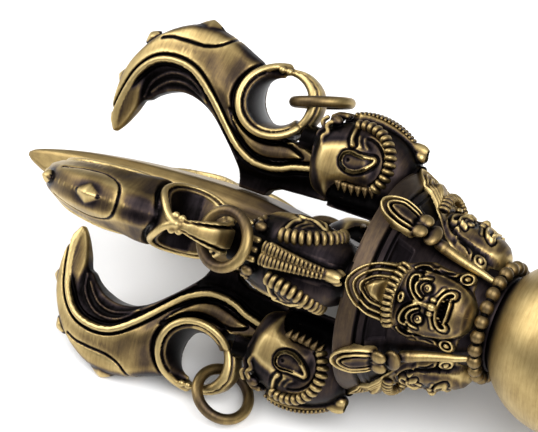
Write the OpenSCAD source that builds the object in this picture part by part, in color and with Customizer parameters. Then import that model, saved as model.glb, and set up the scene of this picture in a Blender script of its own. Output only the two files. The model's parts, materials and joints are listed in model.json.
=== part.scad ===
// Open five-prong vajra, both ends alike, lying along X with its middle ball at the origin.
// An end is drawn pointing to +X, with one prong above the axis, and then turned to its place.

/* [Ball and neck] */
// Diameter of the middle ball
ball_d = 26; // [24:0.5:27]
// Diameter of the neck that carries the string of beads
neck_d = 14.4; // [13.4:0.1:15]
// Length of the neck between the ball's shoulder and the hub's flare
neck_l = 2.3; // [2.1:0.1:3]
// Diameter of one bead on the neck
bead_d = 2.1; // [1.8:0.1:2.3]
// How many beads go round the neck
bead_count = 24; // [20:1:25]

/* [Tie rod] */
// Diameter of the rod that draws both ends together through the ball
rod_d = 5; // [3:0.5:6]
// How far the rod reaches into the foot of a central spike
rod_grip = 9; // [5:0.5:12]

/* [Hub] */
// Length of a hub from the ball's shoulder to its wide face
hub_l = 19.7; // [19:0.1:22]
// Diameter of the hub's wide face
flange_d = 33.2; // [32:0.2:36]
// Length of the band round the wide face
flange_l = 2.5; // [2:0.1:3]
// Depth of the dark panels let into the flare
panel_depth = 0.5; // [0.3:0.1:0.8]

/* [Central spike] */
// Length of a central spike from the hub's face to its tip
spike_l = 59.3; // [56:0.5:66]
// Greatest width of a central spike over its flats
spike_w = 11.4; // [10:0.2:12]
// Diameter of the round foot of the spike, let into the hub's face
spike_foot_d = 9; // [8.5:0.5:10]
// Depth of the seat of the spike's foot in the hub
spike_seat = 4; // [3:0.5:5]

/* [Outer prongs] */
// Reach of a prong from the hub's face to the front of its hook
prong_reach = 49; // [48:0.5:52]
// Height of the hook's crest above the axis of the whole
prong_crest = 27; // [26.5:0.25:29]
// Greatest width of the hook's outer face
prong_w = 9.4; // [8:0.2:10]
// Width over the two rims of the scroll round the eye
scroll_w = 9.6; // [8.4:0.2:10]
// Radius of the eye at its narrowest
eye_r = 3.4; // [3.2:0.1:3.6]
// Radius of the scroll's rim
scroll_r = 5.7; // [5.5:0.1:6]
// Diameter of the round tenon that goes into the makara's mouth
tenon_d = 4.4; // [3.6:0.2:4.8]
// Length of that tenon
tenon_l = 6; // [4:0.5:7]
// Diameter of the cross pin through mouth and tenon
pin_d = 1.6; // [1.2:0.1:2]

/* [Makara heads] */
// Distance from a makara's lips to the middle of the scroll's eye in front of them
lip_gap = 6.25; // [6:0.05:7]
// Width of a head over its cheeks
head_w = 12; // [11:0.2:13]
// Diameter of the stud that holds a head to the hub
head_stud_d = 3; // [2:0.2:3.4]
// Length of that stud in the hub
head_stud_l = 4; // [3:0.5:5]

/* [Loose rings] */
// Outer diameter of a loose ring
ring_d = 9.8; // [9.6:0.1:10.2]
// Thickness of the ring's round wire
ring_wire = 1.5; // [1.3:0.1:1.6]
// Slope of an upper ring's middle, seen from the eye, up from the line to the hub
ring_slope = 17; // [17:1:24]
// Slope of a lower ring's middle, up from the same line
hung_slope = 38; // [30:1:44]
// Tilt of a lower ring about its own line to the eye
hung_tilt = 40; // [30:1:42]

/* [Masks] */
// Width of a mask's face
face_w = 8.6; // [8:0.2:9.4]
// Height of the face above the hub's flare at the brow
face_rise = 4; // [3.4:0.1:4.4]
// Width of the crown leaf
crown_w = 8.4; // [7.4:0.2:9]
// Diameter of an ear ring
earring_d = 2.4; // [2:0.1:2.6]

/* [Lotus ornaments] */
// Width of the double-rimmed leaf
leaf_w = 5; // [4.4:0.1:5.6]
// Thickness of the leaf
leaf_t = 1.2; // [0.9:0.1:1.5]
// Diameter of the stem at its wide end
stem_d = 1.8; // [1.4:0.1:2.2]

/* [Fits] */
// Diameter of the studs that hold masks and lotus ornaments
stud_d = 1.6; // [1.2:0.1:2]
// How far those studs reach into the hub
stud_l = 2; // [1.5:0.1:2.5]
// Clearance all round between a piece and its seat
fit = 0.05; // [0.03:0.01:0.1]

/* [Hidden] */
$fn = 48;
SIDES = [["left", -1], ["right", 1]];
QUARTERS = ["upper_front", "lower_front", "lower_back", "upper_back"];
FACES = ["top", "front", "bottom", "back"];
GROUPS = ["prong", "makara_head", "loose_ring", "mask"];

// Colours as the photograph shows them: bright rubbed brass, and brass darkened by patina
brass = "#b08d48";
dark_brass = "#5c4826";

// Places along the axis
shoulder_x = sqrt(pow(ball_d / 2, 2) - pow(neck_d / 2, 2)) + 0.35;
face_x = shoulder_x + hub_l;
rod_end_x = face_x + rod_grip;
bead_x = shoulder_x + neck_l / 2;
bead_end_x = bead_x + bead_d / 2;
flange_r = flange_d / 2;
neck_r = neck_d / 2;
strip_r = flange_r - 1.6;

// The points of prongs and heads are written for a reach of 49 and a crest of 27, with the hub's
// face at 0.85, and follow the two sizes above.
function px(x) = face_x + (x - 0.85) * prong_reach / 49;
function pz(z) = z * prong_crest / 27;

eye_x = px(24.3);
eye_z = pz(19.7);
foot_x = [px(22.4), px(26.2)];
root_z = pz(10.4);
root_w = 2.6;
lips_x = eye_x - lip_gap;
root_x = lips_x - 5.4;

// The spike's flats, half their distance from the axis at a place along it
spike_flat = spike_w / 2;

// The ring's middle lies so far out from the eye that its wire clears the trunk inside the eye
ring_r = (ring_d - ring_wire) / 2;
ring_out = ring_r + 2.1;
hung_out = ring_r + 2.5;

// A smooth curve through points, with a few steps between each two
function curve_at(a, b, c, d, t) =
  0.5 * (2 * b + (c - a) * t + (2 * a - 5 * b + 4 * c - d) * t * t + (3 * b - a - 3 * c + d) * t * t * t);
function curve(p, steps) = concat(
  [for (i = [0 : len(p) - 2]) for (j = [0 : steps - 1])
    curve_at(p[max(i - 1, 0)], p[i], p[i + 1], p[min(i + 2, len(p) - 1)], j / steps)],
  [p[len(p) - 1]]);

// A closed skin over sections that all have the same number of points
module loft(s) {
  n = len(s[0]);
  m = len(s);
  polyhedron(
    points = [for (r = s) each r],
    faces = concat(
      [[for (i = [0 : n - 1]) i]],
      [for (j = [0 : m - 2]) for (i = [0 : n - 1])
        each [[j * n + i, (j + 1) * n + i, (j + 1) * n + (i + 1) % n],
              [j * n + i, (j + 1) * n + (i + 1) % n, j * n + (i + 1) % n]]],
      [[for (i = [n - 1 : -1 : 0]) (m - 1) * n + i]]));
}

// A rounded section across the axis at x, from z low to z high, half as wide as half_w
function round_section(x, low, high, half_w, sides, square) =
  [for (i = [0 : sides - 1]) let (a = 360 * i / sides, c = cos(a), s = sin(a))
    [x,
     -half_w * sign(s) * pow(abs(s), square),
     (low + high) / 2 + (high - low) / 2 * sign(c) * pow(abs(c), square)]];

// Turn what is drawn about Z so that it stands about X
module along_x() rotate([0, 90, 0]) children();

// Put what is drawn for one prong in its quarter or at its face of an end
module quarter(side, i) rotate([0, 0, side > 0 ? 0 : 180]) rotate([side * (45 + 90 * i), 0, 0]) children();
module between(side, i) rotate([0, 0, side > 0 ? 0 : 180]) rotate([side * 90 * i, 0, 0]) children();
module end_of(side) rotate([0, 0, side > 0 ? 0 : 180]) children();

// The hub's outline as [radius, place along the axis], let out by a gap all round
flare = [[0.8, 3.9], [1.4, 6], [2.1, 8], [2.9, 10], [4, 12], [5.6, 14], [7.8, 15.9]];
function hub_outline(gap) = concat(
  [[0, shoulder_x - 1], [neck_r + gap, shoulder_x - 1], [neck_r + gap, shoulder_x + neck_l]],
  [for (p = flare)
    [neck_r + gap + p[0] * (strip_r - neck_r) / 7.8,
     shoulder_x + neck_l + (p[1] - 2.3) * (hub_l - flange_l - 1.2 - neck_l) / 13.6]],
  [[strip_r + gap, face_x - flange_l - 0.1], [strip_r + 0.5 + gap, face_x - flange_l],
   [flange_r + gap, face_x - 0.4], [flange_r - 0.3 + gap, face_x], [0, face_x]]);
function hub_r(x) = lookup(x, [for (p = hub_outline(0)) [p[1], p[0]]]);
module hub_blank(gap) along_x() rotate_extrude() polygon(hub_outline(gap));

// The ball ends flat on both sides, where the hubs seat against it
ball_l = 2 * (shoulder_x - fit);

module ball() color(brass) difference() {
  union() {
    intersection() {
      sphere(d = ball_d, $fn = 96);
      along_x() cylinder(d = ball_d, h = ball_l, center = true);
    }
    along_x() cylinder(r = neck_r - 0.5, h = ball_l, center = true);
  }
  along_x() cylinder(d = rod_d + 2 * fit, h = ball_l + 1, center = true);
}

module tie_rod() color(brass) along_x() cylinder(d = rod_d, h = 2 * rod_end_x, center = true);

// Where the studs of heads, masks and lotus ornaments go into the hub
mask_seat_r = neck_r + 1.9;
mask_stud_x = shoulder_x + neck_l + 6.6;
lotus_stud_x = face_x - flange_l / 2;
head_stud_z = flange_r - 4.2;
module stud_bore(x, r_from, r_to, d) translate([x, 0, r_from]) cylinder(d = d, h = r_to - r_from, $fn = 24);

module hub() color(dark_brass) difference() {
  intersection() {
    hub_blank(0);
    along_x() translate([0, 0, shoulder_x]) cylinder(r = flange_r + 1, h = hub_l);
  }
  along_x() cylinder(d = rod_d + 2 * fit, h = face_x + 1);
  translate([face_x - spike_seat, 0, 0]) along_x() cylinder(d = spike_foot_d + 2 * fit, h = spike_seat + 1);
  for (i = [0 : 3]) rotate([45 + 90 * i, 0, 0]) {
    translate([face_x - head_stud_l - fit, 0, head_stud_z])
      along_x() cylinder(d = head_stud_d + 2 * fit, h = head_stud_l + 1, $fn = 24);
    stud_bore(mask_stud_x, mask_seat_r - stud_l - fit, mask_seat_r + 3, stud_d + 2 * fit);
  }
  for (i = [0 : 3]) rotate([90 * i, 0, 0])
    stud_bore(lotus_stud_x, strip_r - stud_l - fit, flange_r + 1, stud_d + 2 * fit);
  for (i = [0 : 7]) rotate([45 * i + 22.5 - 9, 0, 0])
    along_x() translate([0, 0, face_x - flange_l - 4])
      rotate_extrude(angle = 18) translate([strip_r - panel_depth - 2.4, 0]) square([4, 2.6]);
}

// The hub's own shape, cut from what seats on it, apart from the stud at x that starts at z
module seat_around(x, z) difference() {
  hub_blank(fit);
  stud_bore(x, z, flange_d, stud_d);
}

// The string of beads: one ring of wire with the beads on it, round the neck
module bead_string() color(brass) difference() {
  union() {
    for (i = [0 : bead_count - 1]) rotate([360 * i / bead_count, 0, 0])
      translate([bead_x, 0, neck_r + bead_d / 2 + 0.05]) sphere(d = bead_d, $fn = 24);
    along_x() translate([0, 0, bead_x - 0.5])
      rotate_extrude() translate([neck_r, 0]) square([bead_d * 0.6, 1]);
  }
  along_x() cylinder(r = neck_r + fit, h = face_x);
}

// A spike section across the axis: a square on its flats with its corners cut
function spike_section(x, h) = let (c = 0.7 * h)
  [for (p = [[-c, h], [-h, c], [-h, -c], [-c, -h], [c, -h], [h, -c], [h, c], [c, h]]) [x, p[0], p[1]]];
module central_spike() color(brass) difference() {
  union() {
    loft([for (p = curve([[0, 0.62], [6, 0.66], [14, 0.86], [23, 1], [33, 0.93], [42, 0.78],
                          [50, 0.56], [55, 0.35], [58, 0.18], [59.3, 0.05]], 2))
      spike_section(face_x + fit + p[0] * (spike_l - fit) / 59.3, p[1] * spike_flat)]);
    translate([face_x - spike_seat + fit, 0, 0]) along_x() cylinder(d = spike_foot_d, h = spike_seat + 1);
  }
  along_x() cylinder(d = rod_d + 2 * fit, h = rod_end_x + fit);
}

// Prong stations from the root in the makara's mouth out to the tip of the hook:
// outer point, inner point, half width of the outer face, of the rib and of the inner edge
blade = [
  [14, 12.2, 14, 8.4, 2.1, 2.4, 1.8],
  [17.5, 13.6, 17, 8, 2.1, 2.5, 1.8],
  [20.5, 14.6, 20, 7.4, 2.2, 2.8, 1.6],
  [24, 14.4, 24.4, 6.9, 2.6, 3, 1.4],
  [27, 15.2, 28, 9, 3, 3.1, 1.4],
  [28.7, 17, 29.6, 10.8, 3.6, 3.2, 1.4],
  [29.8, 20.6, 30.9, 12.2, 4, 3.2, 1.4],
  [31, 24.4, 32.2, 13.6, 4.5, 3.2, 1.4],
  [33.4, 26.3, 34, 15, 4.7, 3.2, 1.4],
  [36.8, 27, 35.9, 15.9, 4.4, 3.2, 1.4],
  [40.3, 26.7, 37.8, 16.3, 4, 3.1, 1.4],
  [43.6, 25.2, 39.6, 16.2, 3.6, 2.9, 1.4],
  [46.4, 22.7, 41.3, 15.6, 3.2, 2.6, 1.3],
  [48.5, 19.4, 42.9, 14.7, 2.8, 2.3, 1.2],
  [49.6, 16, 44.3, 13.5, 2.3, 1.9, 1],
  [49.8, 12.6, 45.5, 11.8, 1.7, 1.4, 0.8],
  [49.2, 9.4, 46.6, 9.2, 1.1, 0.9, 0.6],
  [48.3, 7.3, 47.8, 7.3, 0.4, 0.3, 0.2]];
function blade_point(p, t, w) = [px(p[0] + (p[2] - p[0]) * t), w, pz(p[1] + (p[3] - p[1]) * t)];
function blade_section(p) = let (
  w = p[4] * prong_w / 9.4, rows = [[0.15, w], [0.46, p[5]], [0.74, p[6] + 0.6], [1, p[6]]])
  concat(
    [blade_point(p, 0, 0)],
    [for (r = rows) blade_point(p, r[0], -r[1])],
    [for (i = [3 : -1 : 0]) blade_point(p, rows[i][0], rows[i][1])]);

// The trunk from the lips to its curled end on the scroll: angle round the eye,
// inner radius, outer radius and half width
trunk = [[222, 4, 5.8, 2], [202, 4.2, 6.1, 2], [184, 4.3, 6.5, 1.9],
         [166, 4.4, 6.7, 1.75], [148, 4.4, 6.6, 1.5], [132, 4.3, 6.2, 1.2],
         [116, 4.2, 5.8, 1], [100, 4.1, 5.3, 0.8], [84, 4, 5, 0.5]];
function round_eye(a, r, w) = [eye_x + r * cos(a), w, eye_z + r * sin(a)];
function trunk_section(p) = let (m = (p[1] + p[2]) / 2, e = (p[2] - p[1]) / 5)
  [round_eye(p[0], p[2], 0), round_eye(p[0], p[2] - e, -p[3] * 0.8), round_eye(p[0], m, -p[3]),
   round_eye(p[0], p[1] + e, -p[3] * 0.8), round_eye(p[0], p[1], 0), round_eye(p[0], p[1] + e, p[3] * 0.8),
   round_eye(p[0], m, p[3]), round_eye(p[0], p[2] - e, p[3] * 0.8)];

// The C-scroll round the eye, waisted between its two rims: angle round the eye from the
// trunk's root, and half width as a share. The rims close in on each other at the curl.
scroll = [[-142, 0.55], [-120, 0.72], [-98, 0.84], [-76, 0.92], [-52, 0.98], [-28, 1], [-4, 0.98],
          [18, 0.9], [38, 0.76], [54, 0.56], [67, 0.36], [78, 0.2]];
function scroll_section(p) = let (w = p[1] * scroll_w / 2, e = 0.12 * w)
  [for (q = [[scroll_r - 0.3, 0], [scroll_r, -w + e], [scroll_r - 0.5, -w], [eye_r + 1.1, -w],
             [eye_r + 0.3, -w / 2], [eye_r, 0], [eye_r + 0.3, w / 2], [eye_r + 1.1, w],
             [scroll_r - 0.5, w], [scroll_r, w - e]]) round_eye(p[0], q[0], q[1])];

module curl_knob() translate([px(25.2), 0, pz(24.2)]) sphere(r = 0.95, $fn = 24);

// A diamond boss on the outer face, half as long as l, with its point up
module boss(x, z, slope, l, w, h) translate([px(x), 0, pz(z)]) rotate([0, slope, 0])
  scale(prong_w / 9.4) polyhedron(
    points = [[l, 0, 0], [0, w, 0], [-l, 0, 0], [0, -w, 0], [0.1 * l, 0, h], [0, 0, -h]],
    faces = [[0, 4, 1], [1, 4, 2], [2, 4, 3], [3, 4, 0], [0, 1, 5], [1, 2, 5], [2, 3, 5], [3, 0, 5]]);

module prong() color(dark_brass) difference() {
  union() {
    loft([for (p = blade) blade_section(p)]);
    loft([for (p = trunk) trunk_section(p)]);
    loft([for (i = [len(scroll) - 1 : -1 : 0]) scroll_section(scroll[i])]);
    curl_knob();
    boss(38.2, 26.6, 3, 2.7, 1.8, 1.3);
    boss(46.8, 22.3, 52, 1.6, 1.1, 0.9);
    boss(49.6, 15.6, 84, 1.4, 0.9, 0.8);
    translate([foot_x[0], -1.5, spike_flat + fit])
      cube([foot_x[1] - foot_x[0], 3, pz(9) - spike_flat]);
    translate([root_x + fit, -root_w, pz(8)]) cube([px(20) - root_x, 2 * root_w, pz(12.4) - pz(8)]);
    translate([root_x - tenon_l, 0, root_z]) along_x() cylinder(d = tenon_d, h = tenon_l + 2, $fn = 32);
  }
  pin_bore();
}

// The cross pin stands across the head, through the tenon
pin_x = root_x - tenon_l / 2;
module cross_pin(d, l) translate([pin_x, 0, root_z]) rotate([90, 0, 0])
  cylinder(d = d, h = l, center = true, $fn = 24);
module pin_bore() cross_pin(pin_d + 2 * fit, 2 * head_w);
module prong_pin() color(dark_brass) cross_pin(pin_d, head_w - 4);

// Head stations from the hub's face to the lips: place, lowest, highest, half width
skull = [[0.05, 9.6, 17.6, 3.2], [1.6, 8.8, 19.2, 4.7], [4, 8.5, 20.8, 5.7], [7, 8.3, 21.6, 6],
         [9.6, 8.2, 21.4, 6], [12, 8.2, 20.6, 5.5], [14.2, 8.6, 19.2, 4.6], [16, 10.4, 18.4, 3.7],
         [17.2, 13, 17.6, 2.8]];
crest = [[1.2, 18.2, 20.4, 0.8], [3, 19.4, 20.9, 0.9], [5, 20, 22, 1.1], [7.4, 20.4, 22.7, 1.4],
         [9.6, 20.4, 22.8, 1.6], [11.4, 20, 22.4, 1.7], [12.8, 19.6, 21.9, 1.5]];
function head_x(x) = face_x + x * (lips_x - face_x) / 17.2;
function head_half(w) = w * head_w / 12;
module fur_band(side) translate([head_x(9.6), 0, pz(15.8)]) rotate([-90, 0, 0])
  translate([0, 0, side * head_half(5.3)]) rotate([0, 0, 120]) rotate_extrude(angle = 140)
    translate([5.3, 0]) circle(d = 1.6, $fn = 16);

module makara_head() color(dark_brass) difference() {
  union() {
    loft([for (p = skull) round_section(head_x(p[0]), pz(p[1]), pz(p[2]), head_half(p[3]), 16, 0.75)]);
    loft([for (p = crest) round_section(head_x(p[0]), pz(p[1]), pz(p[2]), p[3], 8, 0.9)]);
    translate([head_x(0.8), 0, pz(19.1)]) sphere(r = 1.35, $fn = 24);
    for (side = [-1, 1]) {
      fur_band(side);
      translate([head_x(10.4), side * head_half(4.7), pz(16.4)]) sphere(r = 2, $fn = 32);
      translate([head_x(12.6), side * head_half(3.8), pz(20.3)]) sphere(r = 1.3, $fn = 24);
    }
    translate([face_x - head_stud_l, 0, head_stud_z]) along_x()
      cylinder(d = head_stud_d, h = head_stud_l + 2, $fn = 24);
  }
  translate([root_x, -root_w - fit, 0]) cube([lip_gap, 2 * (root_w + fit), pz(14.2)]);
  translate([root_x - tenon_l - fit, 0, root_z]) along_x()
    cylinder(d = tenon_d + 2 * fit, h = tenon_l + lip_gap, $fn = 32);
  pin_bore();
  along_x() cylinder(r = spike_flat * sqrt(2) * 0.92, h = 2 * face_x);
}

// A loose ring, drawn flat round Z
module ring() color(brass) rotate_extrude() translate([ring_r, 0]) circle(d = ring_wire, $fn = 24);
// Rings rest at a slope seen from the eye; the lower ones also hang over to one side
module loose_ring(i, side) {
  low = i == 1 || i == 2;
  lean = (i == 1 ? -1 : 1) * side;
  translate([eye_x, 0, eye_z]) rotate([0, -(180 - (low ? hung_slope : ring_slope)), 0])
    translate([low ? hung_out : ring_out, 0, 0]) rotate([low ? lean * hung_tilt : 0, 0, 0]) ring();
}

// Mask stations from the chin to the hair: place, height over the axis, half width as a share
face = [[13.3, 8.9, 0.36], [13.8, 10, 0.56], [14.7, 11, 0.74], [16.4, 11.9, 0.9], [18.4, 12.3, 0.98],
        [20.2, 12.9, 1], [21.6, 13.6, 1], [22.9, 13.5, 1], [23.7, 13.8, 1], [24, 14.4, 1.1],
        [24.9, 14.5, 1.1], [25.2, 14, 0.98], [26, 13.9, 0.85]];
// The stations are written for beads that end at 13.2 and a hub 17.5 long beyond them
mask_run = (face_x - bead_end_x) / 17.5;
function face_at(x) = bead_end_x + (x - 13.2) * mask_run;
function face_z(z) = neck_r + 1.9 + (z - 9.1) * face_rise / 4;
function face_section(p) = let (w = p[2] * face_w / 2, z = face_z(p[1]), low = z - 6)
  concat(
    [for (a = [0 : 18 : 90]) [face_at(p[0]), -w * sin(a), z - 2.6 * (1 - cos(a))]],
    [[face_at(p[0]), -w, low], [face_at(p[0]), w, low]],
    [for (a = [90 : -18 : 18]) [face_at(p[0]), w * sin(a), z - 2.6 * (1 - cos(a))]]);

// A leaf outline that starts at the base and comes to a point at length l
function leaf(l, w) = concat(
  [for (t = [0 : 0.125 : 1]) [l * t, -w / 2 * pow(sin(180 * pow(t, 0.62)), 0.75)]],
  [for (t = [0.875 : -0.125 : 0.125]) [l * t, w / 2 * pow(sin(180 * pow(t, 0.62)), 0.75)]]);
// A leaf in rims, each smaller and higher than the last
module rimmed_leaf(l, w, t, rims) for (i = [0 : rims - 1])
  translate([0.3 * i, 0, 0]) linear_extrude(t * (0.7 + 0.3 * i))
    polygon(leaf(l - 1.5 * i, w - 1.5 * i));

module ear_ring() rotate_extrude() translate([(earring_d - 0.8) / 2, 0]) circle(d = 0.8, $fn = 16);

module mask() color(brass) difference() {
  union() {
    loft([for (p = face) face_section(p)]);
    translate([face_at(23.6), 0, face_z(13)]) rotate([0, -20, 0])
      rimmed_leaf(7.2 * mask_run, crown_w, 1.3, 3);
    translate([face_at(18.6), 0, face_z(11.7)]) sphere(r = 1.25, $fn = 24);
    translate([face_at(16.4), 0, face_z(10.9)]) sphere(r = 1.5, $fn = 24);
    for (side = [-1, 1]) {
      translate([face_at(20.1), side * face_w * 0.22, face_z(12)]) sphere(r = 1.1, $fn = 24);
      translate([face_at(22.4), side * (face_w / 2 + 0.1), face_z(11.4)]) sphere(r = 1.2, $fn = 24);
      translate([face_at(17.6), side * (face_w / 2 + earring_d / 3 - 0.6), face_z(9.7)])
        rotate([side * 50, 0, 0]) ear_ring();
    }
    stud_bore(mask_stud_x, mask_seat_r - stud_l, mask_seat_r + 2, stud_d);
  }
  seat_around(mask_stud_x, mask_seat_r - stud_l);
}

// A petal lying on the flare at x, pointing back to the ball, turned aside
module petal(x, w, l, slope, turn) translate([x, 0, hub_r(x) + 1]) rotate([0, slope, 180])
  rotate([0, 0, turn]) translate([0, 0, -0.6]) rimmed_leaf(l, w, 1, 2);

lotus_base_x = face_x - 4.6;
stem_foot_x = bead_end_x + 0.1;
stem_top_x = face_x - 7.4;
module stem() {
  rise = hub_r(stem_top_x) - hub_r(stem_foot_x);
  run = stem_top_x - stem_foot_x;
  translate([stem_foot_x, 0, hub_r(stem_foot_x) + 0.3]) rotate([0, 90 - atan2(rise, run), 0])
    cylinder(d1 = stem_d / 2, d2 = stem_d, h = norm([rise, run]), $fn = 24);
}
module lotus() color(brass) difference() {
  union() {
    translate([lotus_base_x - 0.4, 0, strip_r - 0.3]) rotate([0, -19, 0]) rimmed_leaf(5.9, leaf_w, leaf_t, 2);
    petal(lotus_base_x + 0.8, 2.2, 3.6, 34, 34);
    petal(lotus_base_x + 0.8, 2.2, 3.6, 34, -34);
    petal(lotus_base_x + 0.6, 2.8, 5.4, 36, 0);
    stem();
    stud_bore(lotus_stud_x, strip_r - stud_l, strip_r + 1.2, stud_d);
  }
  seat_around(lotus_stud_x, strip_r - stud_l);
}

ball();
tie_rod();
for (s = SIDES) {
  end_of(s[1]) hub();
  end_of(s[1]) bead_string();
  quarter(s[1], 0) central_spike();
  for (i = [0 : 3]) quarter(s[1], i) prong_pin();
}
for (s = SIDES) for (i = [0 : 3]) {
  quarter(s[1], i) prong();
  quarter(s[1], i) makara_head();
  quarter(s[1], i) loose_ring(i, s[1]);
  quarter(s[1], i) mask();
  between(s[1], i) lotus();
}
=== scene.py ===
"""An open five-prong vajra in antique brass, lying on its two lower prongs.

One end is modelled in its own axes, in millimetres: x along the axis from the middle of the ball,
y across it, and z out from it. Cast pieces are carved in blocks of voxels, skinned once, and set in
their places at both ends. Beads, ribs, fur and teeth are set out by geometry nodes.
"""
import json
import math

import bpy
import numpy as np
from mathutils import Matrix, Vector


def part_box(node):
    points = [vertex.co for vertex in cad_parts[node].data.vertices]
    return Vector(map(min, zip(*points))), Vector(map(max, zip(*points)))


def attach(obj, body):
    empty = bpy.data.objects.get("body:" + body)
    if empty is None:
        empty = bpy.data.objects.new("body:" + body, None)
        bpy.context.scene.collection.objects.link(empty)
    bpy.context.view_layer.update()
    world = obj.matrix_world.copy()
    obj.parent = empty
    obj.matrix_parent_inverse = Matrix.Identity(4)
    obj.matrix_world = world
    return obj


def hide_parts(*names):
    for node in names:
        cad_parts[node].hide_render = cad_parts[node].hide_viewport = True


MM = 0.001
SIDES = {"left": -1, "right": 1}
QUARTERS = ["upper_front", "lower_front", "lower_back", "upper_back"]
FACES = ["top", "front", "bottom", "back"]

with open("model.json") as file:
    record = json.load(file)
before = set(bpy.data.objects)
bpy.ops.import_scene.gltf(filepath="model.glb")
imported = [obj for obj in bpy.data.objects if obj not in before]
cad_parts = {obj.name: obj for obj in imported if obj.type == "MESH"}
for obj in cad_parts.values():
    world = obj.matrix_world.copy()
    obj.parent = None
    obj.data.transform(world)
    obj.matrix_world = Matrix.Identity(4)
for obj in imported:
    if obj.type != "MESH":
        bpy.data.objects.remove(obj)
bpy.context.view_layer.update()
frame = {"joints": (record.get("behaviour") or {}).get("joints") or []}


# Sizes taken from the frame, in millimetres

FACE = 30.87                                  # where the outlines below have the hub's wide face


def far_x(node):
    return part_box(node)[1].x / MM


SHIFT = far_x("right_hub") - FACE             # what brings the outlines to the frame's hub
SPIKE_TIP = far_x("right_central_spike") - SHIFT
BALL_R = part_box("ball")[1].z / MM
BALL_END = far_x("ball")
PIVOT = next(j["pos_m"] for j in frame["joints"] if j["child"] == "right_loose_ring_upper_front")
EYE = (PIVOT[0] / MM - SHIFT, math.hypot(PIVOT[1], PIVOT[2]) / MM)
PINS = [corner.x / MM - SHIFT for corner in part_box("right_prong_pins")]
PIN_X, PIN_R = sum(PINS) / 2, (PINS[1] - PINS[0]) / 2
PIN_OUT, PIN_LENGTH = 10.4, 7.9
RING_R, WIRE_R = 4.07, 0.83                   # a loose ring's middle line and its wire

# The carving's voxels, and the share of a skin's faces that is kept
PRONG_STEP, HEAD_STEP, RELIEF_STEP = 0.2, 0.16, 0.13
KEPT_FACES = 0.5
FAR = 3                                       # distance held where a piece is nowhere near


# Carving

class Block:
    """Voxels that hold their distance outside a piece. It is carved on one side and mirrored."""

    def __init__(self, low, high, step):
        self.step = step
        self.axes = [np.arange(start, end, step, np.float32)
                     for start, end in ((low[0], high[0]), (step / 2, high[1]), (low[2], high[2]))]
        self.x, self.y, self.z = np.ix_(*self.axes)
        self.f = np.full([len(a) for a in self.axes], FAR, np.float32)

    def part(self, low, high):
        """The voxels between two corners: their slices and their coordinates."""
        cut = tuple(slice(max(int(np.searchsorted(a, lo)) - 1, 0), int(np.searchsorted(a, hi)) + 1)
                    for a, lo, hi in zip(self.axes, low, high))
        return cut, [a[c].reshape([-1 if i == j else 1 for j in range(3)])
                     for i, (a, c) in enumerate(zip(self.axes, cut))]

    def join(self, shape, cut=..., k=0.0):
        self.f[cut] = meet(self.f[cut], shape, k)

    def carve(self, shape, cut=..., k=0.0):
        self.f[cut] = -meet(-self.f[cut], shape, k)

    def ball(self, place, size, k=0.2, carve=False):
        """A ball or an egg with its half sizes along the axes."""
        size = np.array(size if hasattr(size, "__len__") else (size,) * 3, float)
        cut, (x, y, z) = self.part(np.subtract(place, size + 1), np.add(place, size + 1))
        r = np.sqrt(((x - place[0]) / size[0]) ** 2 + ((y - place[1]) / size[1]) ** 2
                    + ((z - place[2]) / size[2]) ** 2)
        shape = (r - 1) * size.min()
        (self.carve if carve else self.join)(shape, cut, k)

    def tube(self, points, radius, k=0.15, carve=False):
        """A round bar along points, with one radius or a radius at each point."""
        p = np.array(points, float)
        r = np.broadcast_to(radius, len(p)).astype(float)
        margin = r.max() + k + 2 * self.step
        cut, (x, y, z) = self.part(p.min(0) - margin, p.max(0) + margin)
        shape = np.full(np.broadcast_shapes(x.shape, y.shape, z.shape), margin, np.float32)
        origin = [c.start for c in cut]
        for a, b, ra, rb in zip(p[:-1], p[1:], r[:-1], r[1:]):
            near, (x, y, z) = self.part(np.minimum(a, b) - margin, np.maximum(a, b) + margin)
            d = b - a
            t = np.clip(((x - a[0]) * d[0] + (y - a[1]) * d[1] + (z - a[2]) * d[2]) / (d @ d), 0, 1)
            e = np.sqrt((x - a[0] - t * d[0]) ** 2 + (y - a[1] - t * d[1]) ** 2
                        + (z - a[2] - t * d[2]) ** 2) - (ra + (rb - ra) * t)
            here = tuple(slice(n.start - o, n.start - o + s)
                         for n, o, s in zip(near, origin, e.shape))
            shape[here] = np.minimum(shape[here], e)
        (self.carve if carve else self.join)(shape, cut, k)

    def slab(self, half):
        """A slab whose half width across is a field over the plane through the axis."""
        slope = np.gradient(half[:, 0, :], self.step)
        return (self.y - half) / np.sqrt(1 + slope[0] ** 2 + slope[1] ** 2)[:, None, :]


def meet(a, b, k):
    """The smaller of two distances, rounded over k where they meet."""
    if k == 0:
        return np.minimum(a, b)
    h = np.clip(0.5 + 0.5 * (b - a) / k, 0, 1)
    return b + (a - b) * h - k * h * (1 - h)


def smooth(points, steps=5):
    """More points along a smooth curve through the ones given."""
    p = np.array(points, float)
    p = np.vstack([2 * p[0] - p[1], p, 2 * p[-1] - p[-2]])
    t = np.linspace(0, 1, steps, endpoint=False)[:, None]
    out = [0.5 * (2 * b + (c - a) * t + (2 * a - 5 * b + 4 * c - d) * t ** 2
                  + (3 * b - a - 3 * c + d) * t ** 3)
           for a, b, c, d in zip(p[:-3], p[1:-2], p[2:-1], p[3:])]
    return np.vstack(out + [p[-2][None]])


def read(table, v, column=1):
    """A column of a table at v, between its rows."""
    return np.interp(v, table[:, 0], table[:, column])


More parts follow.
